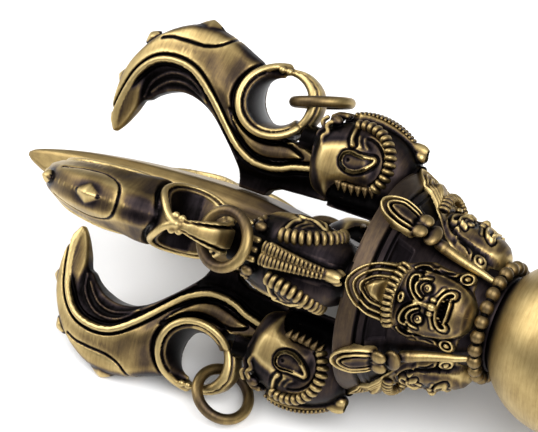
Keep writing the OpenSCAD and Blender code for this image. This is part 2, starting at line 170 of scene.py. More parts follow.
def to_line(x, z, line):
    """Distance to a line in the plane, and what the line's third column holds at the nearest place."""
    line = np.array(line, float)
    shape = np.broadcast_shapes(np.shape(x), np.shape(z))
    best = np.full(shape, np.inf)
    held = np.zeros(shape)
    for p, q in zip(line[:-1], line[1:]):
        dx, dz = q[0] - p[0], q[1] - p[1]
        t = np.clip(((x - p[0]) * dx + (z - p[1]) * dz) / (dx * dx + dz * dz + 1e-9), 0, 1)
        e = np.hypot(x - p[0] - t * dx, z - p[1] - t * dz)
        near = e < best
        best = np.where(near, e, best)
        if len(p) > 2:
            held = np.where(near, p[2] + (q[2] - p[2]) * t, held)
    return best, held


def within(x, z, outline):
    """Whether points of the plane lie in a closed outline."""
    p = np.array(outline, float)[:, :2]
    inside = np.zeros(np.broadcast_shapes(np.shape(x), np.shape(z)), bool)
    for (ax, az), (bx, bz) in zip(p, np.roll(p, -1, 0)):
        if az != bz:
            inside ^= ((az > z) != (bz > z)) & (x < ax + (z - az) * (bx - ax) / (bz - az))
    return inside


def depth_in(x, z, outline):
    """Distance inside a closed outline, less than nothing outside it."""
    d, _ = to_line(x, z, np.vstack([outline, outline[:1]])[:, :2])
    return np.where(within(x, z, outline), d, -d)


def bump(d, width):
    """A rounded profile, 1 on the line and 0 from width away."""
    return np.clip(1 - (d / width) ** 2, 0, 1) ** 2


def ease(start, end, v):
    """0 at the start and 1 at the end, with no corner at either."""
    t = np.clip((v - start) / (end - start), 0, 1)
    return t * t * (3 - 2 * t)


# Skinning

CORNERS = [(i, j, k) for i in (0, 1) for j in (0, 1) for k in (0, 1)]
EDGES = [(a, b) for n, a in enumerate(CORNERS) for b in CORNERS[n:]
         if sum(abs(p - q) for p, q in zip(a, b)) == 1]


def skin(f):
    """A net of quads over the zero surface: a vertex in each cell that it crosses."""
    inside = f < 0
    n = [s - 1 for s in f.shape]
    count = sum(inside[i:i + n[0], j:j + n[1], k:k + n[2]].astype(np.int8) for i, j, k in CORNERS)
    cells = np.argwhere((count > 0) & (count < 8))
    number = np.full(n, -1, np.int64)
    number[tuple(cells.T)] = np.arange(len(cells))
    total = np.zeros((len(cells), 3))
    hits = np.zeros(len(cells))
    for a, b in EDGES:
        fa, fb = f[tuple((cells + a).T)], f[tuple((cells + b).T)]
        cross = (fa < 0) != (fb < 0)
        t = np.where(cross, fa / np.where(cross, fa - fb, 1), 0)
        total += np.where(cross, 1, 0)[:, None] * (np.array(a) + t[:, None] * (np.array(b) - a))
        hits += cross
    verts = cells + total / hits[:, None]
    quads = []
    for axis in range(3):
        step, down_u, down_v = np.roll(np.eye(3, dtype=int), -axis, 0)
        lower = tuple(slice(0, -1) if i == axis else slice(1, -1) for i in range(3))
        upper = tuple(slice(1, None) if i == axis else slice(1, -1) for i in range(3))
        change = inside[lower].astype(np.int8) - inside[upper]
        at = np.argwhere(change != 0) + 1 - step
        ring = [number[tuple(c.T)] for c in (at - down_u - down_v, at - down_v, at, at - down_u)]
        q = np.stack(ring, 1)
        flip = change[tuple((at - 1 + step).T)] < 0
        q[flip] = q[flip][:, ::-1]
        quads.append(q)
    return verts, np.vstack(quads)


def blurred(v, reach):
    """v averaged over a box that reaches so many voxels each way, twice."""
    size = 2 * reach + 1
    for _ in range(2):
        for axis in range(3):
            pad = [(reach + 1, reach) if i == axis else (0, 0) for i in range(3)]
            c = np.cumsum(np.pad(v, pad, mode="reflect", reflect_type="odd"), axis, dtype=np.float64)
            c = np.moveaxis(c, axis, 0)
            v = np.moveaxis((c[size:] - c[:-size]) / size, 0, axis)
    return v


def sample(v, at):
    """v at places given in voxels, between its samples."""
    i = np.clip(np.floor(at).astype(int), 0, np.array(v.shape) - 2)
    t = at - i
    total = 0
    for c in CORNERS:
        share = np.prod(np.where(c, t, 1 - t), 1)
        total = total + share * v[tuple((i + c).T)]
    return total


def skinned(block, name, tone):
    """The block as a thinned mesh. Its attribute for wear and painted shade is 1 where hands have rubbed the
    brass bright and 0 where patina fills it and where shade is painted in, from tone and from how far a place
    stands out from what is near."""
    f = np.concatenate([block.f[:, ::-1], block.f], 1)
    verts, quads = skin(f)
    low = np.array([block.axes[0][0], -block.axes[1][-1], block.axes[2][0]])
    # How far a place stands out from what is near: hollows come out darker, for their patina and as painted
    # shade
    fine = sample(blurred(np.clip(f, -0.6, 0.6), 2), verts) / (2 * block.step)
    broad = sample(blurred(np.clip(f, -2, 2), 5), verts) / (5 * block.step)
    fine, broad = (v * np.where(v < 0, 1.8, 1) for v in (fine, broad))
    places = low + verts * block.step
    base = tone(places[:, 0], np.abs(places[:, 1]), places[:, 2])
    return thinned(with_wear_and_shade(name, places, quads, np.clip(base + 1.1 * fine + 0.5 * broad, 0, 1)))


def with_wear_and_shade(name, verts, faces, wear):
    """A smooth mesh with its attribute for wear and painted shade."""
    mesh = bpy.data.meshes.new(name)
    mesh.from_pydata(verts, [], faces)
    wear = np.ravel(wear).astype(np.float32)
    mesh.attributes.new("wear", "FLOAT", "POINT").data.foreach_set("value", wear)
    mesh.shade_smooth()
    return mesh


def modified(name, mesh, kind, **settings):
    """The plain mesh that one modifier makes of a mesh."""
    obj = bpy.data.objects.new(name, mesh)
    bpy.context.scene.collection.objects.link(obj)
    modifier = obj.modifiers.new(name, kind)
    for key, value in settings.items():
        setattr(modifier, key, value)
    graph = bpy.context.evaluated_depsgraph_get()
    result = bpy.data.meshes.new_from_object(obj.evaluated_get(graph))
    obj.modifiers.clear()
    bpy.data.objects.remove(obj)
    return result


def thinned(mesh):
    return modified("thinned", mesh, "DECIMATE", ratio=KEPT_FACES)


# The hooked prong, with the scroll and the trunk round its eye

# Points are (along, out). The rib line also holds the half width of the prong.
CREST = smooth([(57.6, 23.6), (58.8, 24.4), (60.8, 25.2), (63.4, 26.2), (66.4, 26.9), (69, 26.9),
                (71.4, 26.3), (74, 24.8), (76.2, 22.8), (77.8, 20.5), (79.1, 17.8), (79.7, 15),
                (79.8, 12.2), (79.3, 9.6), (78.3, 7.5)])
INNER = smooth([(78.3, 7.5), (77.6, 7.6), (76.6, 9.1), (75.7, 11.2), (75, 13), (74, 13.6), (73, 14.6),
                (71.4, 15.6), (69.6, 16.2), (67.8, 16.3), (65.9, 15.9), (64, 15), (62.2, 13.6),
                (60.4, 11.9), (58.7, 10.2), (57.3, 8.6), (56.6, 7.2), (56.3, 5.9)])
UNDER = [(52.2, 5.9), (51.6, 6.9), (50.2, 7.6), (47.3, 7.8), (42.8, 8.1)]
RIB = smooth([(78.5, 7.9, 0.7), (78.4, 9.5, 1.2), (78.2, 11.5, 1.7), (77.6, 14, 2.2), (76.5, 16.8, 2.8),
              (74.9, 18.9, 3.3), (72.9, 20.1, 3.8), (70.4, 20.5, 4.2), (68, 20.2, 4.5), (66, 19.2, 4.6),
              (64, 17.6, 4.5), (62.1, 15.8, 4.2), (60.1, 13.7, 3.9), (58.1, 11.9, 3.6), (56.1, 10.7, 3.5),
              (54.2, 10.1, 3.3), (52.2, 10.1, 3.1), (50.2, 10.6, 2.9), (48.4, 11.4, 2.7), (44, 12.4, 2.5)])
BLADE_OUTLINE = np.vstack([CREST, INNER[1:], UNDER,
                           [(42.8, 12.6), (48, 14.6), (52, 15), (57, 16), (59, 19), (58.6, 22)]])
OUTER_FACE = np.vstack([CREST, RIB[:, :2], [(48, 16), (55, 18)]])
LEAF_GROOVE = smooth([(74.6, 23), (73, 23.6), (70.5, 23.8), (67.6, 23.9), (65.6, 24.5), (64.2, 25.6),
                      (63.4, 27)])
HOOK_RIDGES = [smooth([(74.7, 13.8), (74.2, 15.9), (73, 17.4), (71.3, 18.5), (69.4, 18.8), (67.4, 18.4),
                       (65.8, 17.3), (64.6, 16.1)]),
               smooth([(73.8, 14.8), (72.6, 16.2), (71, 17.3), (69, 17.7), (67, 17.3), (65, 16.3),
                       (63, 14.8), (61, 12.9), (59.2, 11.2), (57.6, 9.6)])]
LENS = smooth([(60.2, 16.6), (59.1, 15.6), (57.3, 14.2), (55.4, 13.5), (53.4, 13.5), (51.2, 14),
               (49.6, 13.9), (47.8, 13), (49.4, 12.3), (51.2, 11.7), (53.2, 11.3), (55.2, 11.6), (57, 12.6),
               (58.7, 14.2), (60.2, 16.6)])
SCROLL_LIP = smooth([(59.2, 15.2), (57, 14.9), (54.6, 14.4), (52, 14.3), (50.2, 14.6), (49, 14.9),
                     (48, 14.6)])
SCROLL_RIM, SCROLL_INNER_RIM, SCROLL_WAIST, SCROLL_WALL = 5.15, 4.25, 3.42, 5.5
SCROLL_FROM, SCROLL_TO = -150, 88
# Angle round the eye from the line to the tip, and the half width over the rims there
SCROLL_SPREAD = smooth([(-150, 2.5), (-142, 2.9), (-120, 3.9), (-98, 4.6), (-76, 5), (-52, 5.1), (-28, 5),
                        (-8, 4.7), (12, 4.2), (28, 3.65), (40, 3.1), (50, 2.45), (58, 1.85), (68, 1.2),
                        (78, 0.7), (86, 0.4)])
STAR_LOBES = [(56.1, 0.5), (55.4, 1.15), (54.3, 1)]
# Angle, inner and outer radius and half width of the trunk
TRUNK = np.array([(78, 4.1, 5.0, 0.5), (84, 4, 5, 0.65), (100, 4.1, 5.3, 1), (116, 4.2, 5.8, 1.35),
                  (132, 4.3, 6.2, 1.7), (148, 4.4, 6.6, 2.05), (166, 4.4, 6.7, 2.35), (184, 4.3, 6.5, 2.4),
                  (202, 4.2, 6.1, 2.3), (222, 4, 5.8, 2.2)])
# Place, slope in degrees and half sizes
BOSSES = [((68.3, 26.5), 3, (2.35, 1.6, 1.4)),
          ((76.7, 22.5), 52, (1.6, 1.1, 1)),
          ((79.4, 15.6), 84, (1.4, 0.9, 0.9))]


def round_eye(x, z):
    """Angle in degrees round the eye, from the line to the prong's tip, and distance from its middle."""
    dx, dz = x - EYE[0], z - EYE[1]
    return np.degrees(np.arctan2(dz, dx)), np.hypot(dx, dz)


def blade(block):
    """The prong without its scroll: broad outer face, rib, fluted inner side and foot."""
    x, z = block.x, block.z
    outer = within(x, z, OUTER_FACE)
    to_crest, _ = to_line(x, z, CREST)
    to_rib, half = to_line(x, z, RIB)
    to_inner, _ = to_line(x, z, np.vstack([INNER, UNDER]))

    # The outer face swells from the crest to the rib, and is broader beside the scroll
    share = to_crest / (to_crest + to_rib + 1e-6)
    dome = 0.42 * (1 - np.exp(-17 * share)) + 0.58 * share ** 0.8
    lower = ease(60, 57, x) * ease(16.5, 14.5, z)
    face = half * (dome * (1 - lower) + 0.86 * lower) + 0.25 * ease(0.4, 1, share) * (1 - lower)
    face = face + 1.1 * ease(66, 60.5, x) * ease(0.2, 0.6, share) * ease(0.98, 0.7, share) * (1 - lower)

    # The inner side is hollow, but full at the tip and flat at the foot
    share = to_rib / (to_rib + to_inner + 1e-6)
    flute = half * (0.5 + 0.42 * (1 - share) ** 2)
    tip = ease(17.5, 14, z) * ease(74.6, 75.8, x)
    flute = flute + tip * (half * (1 - 0.25 * share ** 2) - flute)
    foot = ease(9.6, 8, z) * ease(60, 58, x)
    flute = flute * (1 - foot) + 1.5 * foot
    w = np.where(outer, face, flute)
    for line in HOOK_RIDGES:
        w = w + 0.36 * bump(to_line(x, z, line)[0], 0.34)

    # The rib, with a groove on either side
    rib_half = 0.42 + 0.35 * ease(13, 8, z) * ease(76, 78, x)
    side = np.where(outer, 1, -1) * to_rib
    w = w - 0.75 * bump(side - rib_half - 0.32, 0.34)
    w = w - 0.5 * bump(side + rib_half + 0.3, 0.4) * np.maximum(ease(75.6, 74.4, x), ease(14, 17, z))
    rib = half + 0.15 * np.sqrt(np.clip(1 - (to_rib / rib_half) ** 2, 0, 1))
    w = np.maximum(w, np.where(to_rib < rib_half, rib, 0))

    # The leaf's groove runs over the crest, so it is cut deeper where the face is steep
    slope = np.gradient(w[:, 0, :], block.step)
    steep = np.sqrt(1 + np.minimum(slope[0] ** 2 + slope[1] ** 2, 3))[:, None, :]
    groove = bump(to_line(x, z, LEAF_GROOVE)[0], 0.3)
    w = w - 0.4 * groove * steep
    body = depth_in(x, z, BLADE_OUTLINE) - 0.3 * groove * (to_crest < 1)

    # The raised lens and the lip below the scroll, and the groove round the scroll
    lens = depth_in(x, z, LENS)
    w = w + np.where(lens > 0, 0.45 * np.sqrt(np.clip(lens, 0, 1)), 0) - 0.45 * bump(lens, 0.32)
    w = w + 0.4 * bump(to_line(x, z, SCROLL_LIP)[0], 0.26)
    angle, r = round_eye(x, z)
    w = w - 0.7 * bump(r - 6.1, 0.5) * ease(-150, -120, angle) * ease(60, 30, angle)
    block.join(-meet(-block.slab(np.maximum(w, 0.05)), body, 0.5))


def scroll(block):
    """The C-shaped scroll: two rims, waisted between them, that close in on a star knob."""
    angle, r = round_eye(block.x, block.z)
    reach = read(SCROLL_SPREAD, angle)
    waist = SCROLL_WAIST + 1.05 * np.clip(block.y / (reach - 0.3), 0, 1) ** 2.2
    wall = np.maximum(np.maximum(waist - r, r - SCROLL_WALL), block.y - reach + 0.45)
    block.join(np.where((angle > SCROLL_FROM) & (angle < SCROLL_TO), wall, FAR), k=0.25)
    hole = np.where(angle > SCROLL_TO - 4, 4.1, waist)
    block.carve(np.where(angle > SCROLL_FROM, r - hole, FAR), k=0.1)
    a = np.linspace(SCROLL_FROM + 4, SCROLL_TO - 4, 90)
    out = read(SCROLL_SPREAD, a) - 0.5
    a = np.radians(a)
    rim, lip = (np.stack([EYE[0] + radius * np.cos(a), np.maximum(out - inset, 0),
                          EYE[1] + radius * np.sin(a)], 1)
                for radius, inset in ((SCROLL_RIM, 0), (SCROLL_INNER_RIM, 0.25)))
    block.tube(rim, 0.56, 0.08)
    block.tube(lip[4:74], 0.2, 0.1)
    block.tube(0.5 * (rim + lip)[4:76] + (0, 0.12, 0), 0.2, 0.1, carve=True)
    block.ball((55, 0, 24.35), (1.1, 0.95, 0.8), 0.2)
    for along, across in STAR_LOBES:
        block.ball((along, across, 24.25), (0.55, 0.5, 0.55), 0.15)


def trunk(block):
    """The makara's trunk, from its lips up and over the eye to the curl."""
    cut, (x, y, z) = block.part((EYE[0] - 7.4, 0, EYE[1] - 6.6), (EYE[0] + 1.8, 2.8, EYE[1] + 6.8))
    angle, r = round_eye(x, z)
    angle = angle % 360
    low, high, half = (read(TRUNK, angle, column) for column in (1, 2, 3))
    high = high - 0.05
    mid, thick = (low + high) / 2, (high - low) / 2
    shape = (np.abs((r - mid) / thick) ** 2.4 + (y / half) ** 2.4) ** (1 / 2.4) - 1
    shape = shape * np.minimum(thick, half)
    shape = shape + 0.45 * bump(np.abs(y / half) - 0.7, 0.14) * (r > mid)
    block.join(np.where((angle > 78) & (angle < 224), shape, FAR), cut, 0.1)


def bosses(block):
    """The cut stones down the prong's back."""
    for (along, out), slope, size in BOSSES:
        cut, (x, y, z) = block.part((along - 4, 0, out - 4), (along + 4, 3, out + 4))
        c, s = math.cos(math.radians(slope)), math.sin(math.radians(slope))
        u, v = (x - along) * c - (z - out) * s, (x - along) * s + (z - out) * c
        r = (np.abs(u / size[0]) ** 1.25 + (y / size[1]) ** 1.25 + np.abs(v / size[2]) ** 1.25) ** 0.8
        block.join((r - 1) * 0.8, cut, 0.1)


def prong_tone(x, y, z):
    """How bright the prong's brass is before its ridges and hollows are counted."""
    outer = 0.56 + 0.26 * ease(4.5, 0.8, to_line(x, z, CREST)[0])
    # The inner side is near black, for its patina and as painted shade where little light reaches it; its tip
    # stays lighter
    inner = 0.03 + 0.5 * ease(16.5, 13.5, z) * ease(74.6, 75.8, x)
    angle, r = round_eye(x, z)
    tone = np.where(within(x, z, OUTER_FACE), outer, inner) - 0.3 * ease(63.5, 60.5, x) * (r > 5.8)
    tone = np.where(depth_in(x, z, LENS) > 0, 0.32, tone)
    to_rib, _ = to_line(x, z, RIB)
    tone = tone + 0.9 * ease(0.62, 0.38, to_rib) * (x < 79) - 0.4 * bump(to_rib - 0.85, 0.35) * (z > 15)
    tone = tone - 0.6 * bump(to_line(x, z, LEAF_GROOVE)[0], 0.3)
    tone = np.where(r < 5.75, np.where(r > 4.6, 0.66, 0.16), tone)
    tone = np.where((np.abs(angle) > 78) & (r < 7) & (z > 15), 0.5, tone)
    for (along, out), _, size in BOSSES:
        tone = np.where(np.hypot(x - along, z - out) < 0.7 * size[0], 0.75, tone)
    return tone


def prong():
    block = Block((42.6, 0, 5.4), (80.8, 5.4, 28.4), PRONG_STEP)
    blade(block)
    scroll(block)
    trunk(block)
    bosses(block)
    return skinned(block, "prong", prong_tone)


# The makara's head, which holds a prong in its mouth

# Distance from the hub's face, lowest, highest and half width
SKULL = smooth([(0.05, 9.6, 17.6, 3.2), (1.6, 8.8, 19.2, 4.6), (4, 8.5, 20.5, 5.5), (7, 8.3, 21, 5.8),
                (9.6, 8.2, 20.9, 5.8), (12, 8.4, 20.3, 5.5), (13.6, 8.9, 19.7, 5.1), (14.6, 9.8, 19.3, 4.5),
                (15.3, 11.6, 18.8, 3.8), (15.7, 13.6, 18, 3.1)])
CHEEK = smooth([(45.4, 16.4), (45.2, 14), (44.2, 11.6), (43, 9.6), (42.2, 9.2), (41.6, 10.4), (40.6, 11.6),
                (39.2, 12.3), (37.2, 12.5), (35.8, 13.2), (35.8, 15), (37.3, 17.8), (39.8, 18.2),
                (42.8, 17.6), (45.4, 16.4)])
EYE_RIM = smooth([(40.8, 15.2), (40.4, 14.4), (39.4, 13.9), (38.2, 14), (37, 14.7), (36, 16), (36.1, 16.6),
                  (37, 16.5), (38.4, 16.4), (39.6, 16.5), (40.5, 16.1), (40.8, 15.2)])
BROW_MIDDLE, BROW_R = (38.2, 15.4), 4.1
EAR = smooth([(40.9, 20.6), (40.6, 19.4), (40.4, 18.4), (39.9, 17.6)])
WHISKERS = [smooth([(39.5, 19), (39.2, 18.3), (38.7, 17.7)]),
            smooth([(38.6, 18.9), (38.2, 18.2), (37.6, 17.7)])]
LIPS = [smooth([(45.7, 3.3, 20), (46.2, 3.3, 19.2), (45.7, 3.4, 18.4), (46.2, 3.5, 17.4), (45.8, 3.7, 16.4),
                (46, 3.8, 15.4), (45.6, 4, 14)]),
        smooth([(44.6, 4, 19.6), (45.1, 4.1, 18.9), (44.6, 4.3, 18), (45.1, 4.5, 17.2), (44.7, 4.7, 16.2)])]
# The crest's top and half width along the head
CROWN = np.array([(31.5, 19.7), (33, 20.6), (34.5, 21.2), (36, 21.7), (38, 22.1), (40, 22.2), (42, 21.9),
                  (44, 21.2)])
CROWN_HALF = np.array([(31.5, 0.7), (33, 0.8), (41.4, 1.9), (42.6, 1.2)])
KNOB = (31.5, 19.1)
MOUTH_BACK, TENON_HALF, TENON_TOP = 42.7, 2.68, 14.4


def head_tone(x, y, z):
    side = ease(2.6, 3.6, y)
    cheek = ease(-0.2, 0.8, depth_in(x, z, CHEEK)) * ease(36.5, 40.5, x)
    tone = 0.12 + side * (0.5 * cheek * ease(46.4, 44.6, x) + 0.1 * (z > 12.6) * ease(45.4, 44.6, x))
    tone = tone - side * 0.4 * bump(to_line(x, z, EYE_RIM)[0] - 0.55, 0.3)
    # Painted shade on the jaw below the mouth line
    tone = tone - 0.3 * ease(12.2, 11.2, z) * ease(42.4, 41.7, x) * side
    tone = tone - 0.3 * ease(45.2, 46.2, x) * (z > 15.5)
    tone = np.where((y < 2) & (z > 19.6) & (x > 31), 0.3, tone)
    tone = np.where((x > 42.8) & (z > 18.6), 0.02, tone)
    eye = depth_in(x, z, EYE_RIM)
    eyed = np.where(np.abs(eye) < 0.3, 0.75, np.where(eye > 0, 0.45, tone))
    tone = np.where(side > 0.5, eyed, tone)
    return np.where((np.hypot(x - KNOB[0], z - KNOB[1]) < 1.8) & (y < 1.6), 0.5, tone)


def head():
    """Skull, cheek, brow, eye, ear, crest, knob and lips, with the mouth cut for the prong's tenon."""
    block = Block((30.4, 0, 7.6), (49, 6.6, 23.6), HEAD_STEP)
    x, y, z = block.x, block.y, block.z
    low, high, half = (read(SKULL, x - FACE, column) for column in (1, 2, 3))
    tall = (high - low) / 2

    # The cheek stands out, and the jaw below it falls in
    cheek = depth_in(x, z, CHEEK)
    half = half + 0.5 * ease(-0.3, 1.4, cheek)
    half = half - 0.75 * ease(12.6, 11.6, z) * ease(42.6, 41.6, x) * ease(34, 36, x) * (cheek < 0)

    # The brow's arc, the eye with its rim, the ear and the whiskers
    angle = np.degrees(np.arctan2(z - BROW_MIDDLE[1], x - BROW_MIDDLE[0])) % 360
    ring = np.hypot(x - BROW_MIDDLE[0], z - BROW_MIDDLE[1]) - BROW_R
    arc = ease(85, 95, angle) * ease(235, 225, angle)
    half = half + arc * (0.22 * bump(ring, 0.28) - 0.3 * bump(ring + 0.42, 0.25))
    rim, ear = to_line(x, z, EYE_RIM)[0], to_line(x, z, EAR)[0]
    half = half - 0.2 * bump(rim - 0.48, 0.22) * (depth_in(x, z, EYE_RIM) < 0) + 0.36 * bump(rim, 0.32)
    half = half + 0.6 * bump(ear, 0.45) - 0.3 * bump(ear - 0.6, 0.3)
    for line in WHISKERS:
        half = half + 0.22 * bump(to_line(x, z, line)[0], 0.3)
    up = (z - (low + high) / 2) / tall
    r = (np.abs(up) ** 2.6 + (y / half) ** 2.6) ** (1 / 2.6)
    block.join(((r - 1) * np.minimum(half, tall)).astype(np.float32))

    # The crest, and the knob at its back end
    ends = np.minimum(CROWN_HALF[-1, 0] - x, x - CROWN_HALF[0, 0])
    block.join(-meet(read(CROWN_HALF, x) - y, meet(read(CROWN, x) - z, ends, 0.5), 0.5), k=0.3)
    block.ball((31.9, 0, 19.6), (1.7, 0.95, 1.05), 0.2)
    block.ball((31.3, 0.3, 18.7), (1, 0.95, 0.95), 0.15)

    # The eyeball with its pupil, the nostril and the curled lips
    block.ball((39.7, 5.75, 15.3), 0.5, 0.05)
    block.ball((39.7, 6.3, 15.3), 0.22, carve=True)
    block.ball((44.2, 3.2, 19.9), (1, 0.8, 0.8), 0.3)
    for line in LIPS:
        block.tube(line, 0.36, 0.2)
    for across in (0, 1.4):
        block.tube([(45.4, across, 20.2), (44.6, across, 20.8), (43.6, across, 20.9)], 0.5, 0.4)

    block.carve(np.maximum(np.maximum(MOUTH_BACK - x, y - TENON_HALF), z - TENON_TOP), k=0.2)
    block.carve(np.sqrt(y ** 2 + z ** 2) - 7.5)
    return skinned(block, "head", head_tone)


# What lies on the hub's flare: masks and lotus ornaments

# The flare's radius by the distance from the ball's middle
FLARE = np.array([(11.2, 7.2), (13.5, 7.2), (14.9, 8), (16.7, 8.6), (18.5, 9.3), (20.5, 10), (22.3, 11),
                  (24.1, 12.5), (26.9, 14.9), (28.3, 15.1), (28.5, 15.6), (30.5, 16.6), (32, 16.6)])
# The height of a mask's middle line, and the half width of its face
BROW_LINE = np.array([(13.3, 8.4), (13.7, 9.7), (14.4, 10.7), (15.4, 11.3), (16.5, 11.7), (17.4, 11.9),
                      (18.4, 12.2), (20.2, 12.6), (21.6, 13.1), (22.9, 13.3), (23.7, 13.6), (25.7, 14.2),
                      (26.2, 14.1), (28, 15.8), (29.5, 16.5), (31.2, 17)])
FACE_HALF = np.array([(13.3, 1.6), (14.2, 2.7), (15.4, 3.6), (17, 4.3), (19.3, 4.7), (22, 4.8)])
# Outlines and lines seen from outside, as (along, across)
FACE_OUTLINE = np.vstack([[(13.4, -1)],
                          smooth([(13.45, 0), (13.55, 1.2), (14.1, 2.3), (15.2, 3.3), (17, 4.1),
                                  (19.3, 4.5), (21.5, 4.5), (23.6, 4.3), (24.4, 4)]), [(24.4, -1)]])
MASK_OUTLINE = np.array([(13.4, -1), (13.45, 1.2), (14.2, 2.4), (15, 3.6), (15.2, 5.2), (15.7, 5.9),
                         (16.6, 6.1), (17.4, 5.7), (18.4, 5.4), (20, 5.6), (21.4, 5.9), (22.5, 5.6),
                         (23.9, 4.9), (25.9, 4.4), (27.4, 3.9), (28.8, 3.2), (30, 2.1), (30.8, 0.9),
                         (31, -1)])
LEAF_RIMS = [smooth([(25.2, 4.05), (27.2, 3.75), (28.8, 2.9), (29.9, 1.7), (30.5, 0.6), (30.65, 0),
                     (30.5, -0.6)]),
             smooth([(25.2, 3.15), (27, 2.85), (28.3, 2.1), (29.2, 1.1), (29.6, 0), (29.2, -1)]),
             smooth([(25.2, 2.25), (26.7, 2), (27.8, 1.4), (28.5, 0.6), (28.7, 0), (28.5, -0.6)])]
CROWN_BOSS = np.vstack([LEAF_RIMS[2], [(25.2, -2.2), (25.2, 2.2)]])
# Each line of a face: where it runs, how far it stands out and its half width
FACE_LINES = [(smooth([(21, 0.35), (22.1, 1.05), (22.75, 2), (22.95, 3), (22.7, 3.6), (22.1, 3.7),
                       (21.9, 3.35)]), 0.45, 0.32),
              (smooth([(20.7, 0.8), (21.5, 1.45), (21.95, 2.2), (21.75, 3.05), (21.1, 3.5),
                       (20.4, 3.6)]), 0.4, 0.28),
              (smooth([(20.5, 1.3), (21, 1.7), (21.15, 2.25), (20.95, 2.85), (20.5, 3.15)]), 0.2, 0.18),
              (smooth([(18.1, 0), (18.05, 0.9), (17.85, 1.7), (17.5, 2.35), (17, 2.75), (16.4, 2.7),
                       (16.2, 2.25), (16.55, 1.95)]), 0.5, 0.3),
              (smooth([(16.75, 1.8), (16.6, 1.3), (16.5, 0.7), (16.5, 0)]), 0.4, 0.26),
              (smooth([(19.2, 1), (18.8, 1.4), (18.4, 2.1), (18.1, 2.9)]), 0.14, 0.3)]
MOUTH = np.array([(16.75, -1), (16.75, 0.9), (16.9, 1.6), (17.4, 1.6), (17.75, 0.9), (17.8, -1)])
HAIR = [smooth([(23.1, 4.5), (22.6, 5), (21.7, 5.25), (21, 4.9), (21.2, 4.55), (21.7, 4.7)]),
        smooth([(20.7, 5.1), (19.8, 4.85), (18.8, 4.75), (18, 4.95), (17.9, 5.2)]),
        smooth([(20.3, 5.4), (19.2, 5.3), (18.4, 5.45)])]
EARRING = (16.35, 5.0)
MASK_EYE = (20.3, 2.23)
TOOTH_PITCH = 0.62


def flare_height(x, y, over):
    """Height of the hub's flare at a place, let out by a little."""
    return np.sqrt(np.maximum((read(FLARE, x) + over) ** 2 - y ** 2, 0.01))


def relief(block, height, outline):
    """What lies between the hub's flare and a height over it, inside an outline seen from outside."""
    slope = np.gradient(height[:, :, 0], block.step)
    top = (block.z - height) / np.sqrt(1 + np.minimum(slope[0] ** 2 + slope[1] ** 2, 17))[:, :, None]
    top = -meet(-top, outline, 0.3)
    under = read(FLARE, block.x) - 0.12 - np.sqrt(block.y ** 2 + block.z ** 2)
    block.join(np.maximum(top, under).astype(np.float32))


def mask():
    """A wrathful face with crown leaf, hair, ear rings, bared teeth and a third eye."""
    block = Block((13, 0, 6.6), (31.6, 6.6, 17.8), RELIEF_STEP)
    x, y = block.x, block.y

    # The domed face falls away past its outline; the crown leaf lies behind it
    face_in = depth_in(x, y, FACE_OUTLINE)
    middle = read(BROW_LINE, x)
    dome = middle - 2.7 * (1 - np.sqrt(np.clip(1 - (y / read(FACE_HALF, x)) ** 2, 0, 1)))
    dome = dome - 0.4 * ease(1.1, 0, face_in) * ease(14, 16, x) - 0.5 * ease(21.2, 22.4, x)
    dome = dome - 0.6 * bump(np.hypot(x - MASK_EYE[0], y - MASK_EYE[1]), 1.3)
    leaf = middle - 0.1 * y ** 2 - 0.35
    height = np.where(x < 24.2, dome - 4 * np.maximum(-face_in, 0), leaf)
    height = np.maximum(height, flare_height(x, y, 0.35))
    for rim in LEAF_RIMS:
        d = to_line(x, y, rim)[0]
        height = height + ease(24.9, 25.4, x) * (0.36 * bump(d, 0.26) - 0.4 * bump(d - 0.4, 0.24))
    height = height + 0.8 * ease(0.3, 1.2, depth_in(x, y, CROWN_BOSS)) * ease(25.2, 26, x)

    # The face's lines with a hollow beside each, the hair, the ear ring and the mouth with its teeth
    for line, rise, width in FACE_LINES:
        d = to_line(x, y, line)[0]
        height = height + rise * bump(d, width) - 0.7 * rise * bump(d - width - 0.1, 0.22)
    for line in HAIR:
        height = height + 0.7 * bump(to_line(x, y, line)[0], 0.4)
    from_ear = np.hypot(x - EARRING[0], (y - EARRING[1]) * 1.15)
    height = height + 0.75 * ease(1.15, 0.95, from_ear) + 0.3 * ease(0.4, 0.1, from_ear)
    height = height - 0.6 * bump(from_ear - 0.55, 0.2) - 0.95 * ease(0, 0.3, depth_in(x, y, MOUTH))
    across = np.abs((y + TOOTH_PITCH / 2) % TOOTH_PITCH - TOOTH_PITCH / 2)
    height = height + 0.6 * bump(np.hypot((x - 17.5) / 1.25, across), 0.26) * (y < 1.5)
    relief(block, height, depth_in(x, y, MASK_OUTLINE))

    # The nose, the eyeball with its pupil, and the third eye
    block.ball((18.7, 0, 12.6), (0.7, 0.58, 0.75), 0.15)
    block.ball((18.85, 0.95, 12.2), (0.55, 0.5, 0.55), 0.06)
    block.tube([(19.2, 0, 12.5), (20.2, 0, 12.5), (21.3, 0, 12.9)], (0.4, 0.25, 0.35), 0.25)
    block.ball((*MASK_EYE, 11.85), 0.7, 0.02)
    block.ball((20.3, 2.36, 12.6), (0.36, 0.36, 0.42), carve=True)
    block.ball((20.3, 2.34, 12.38), 0.17)
    block.ball((23.3, 0, 13.3), (0.5, 0.85, 0.5), 0.05)
    block.ball((23.3, 0, 13.9), (0.26, 0.42, 0.8), carve=True)
    return skinned(block, "mask", mask_tone)


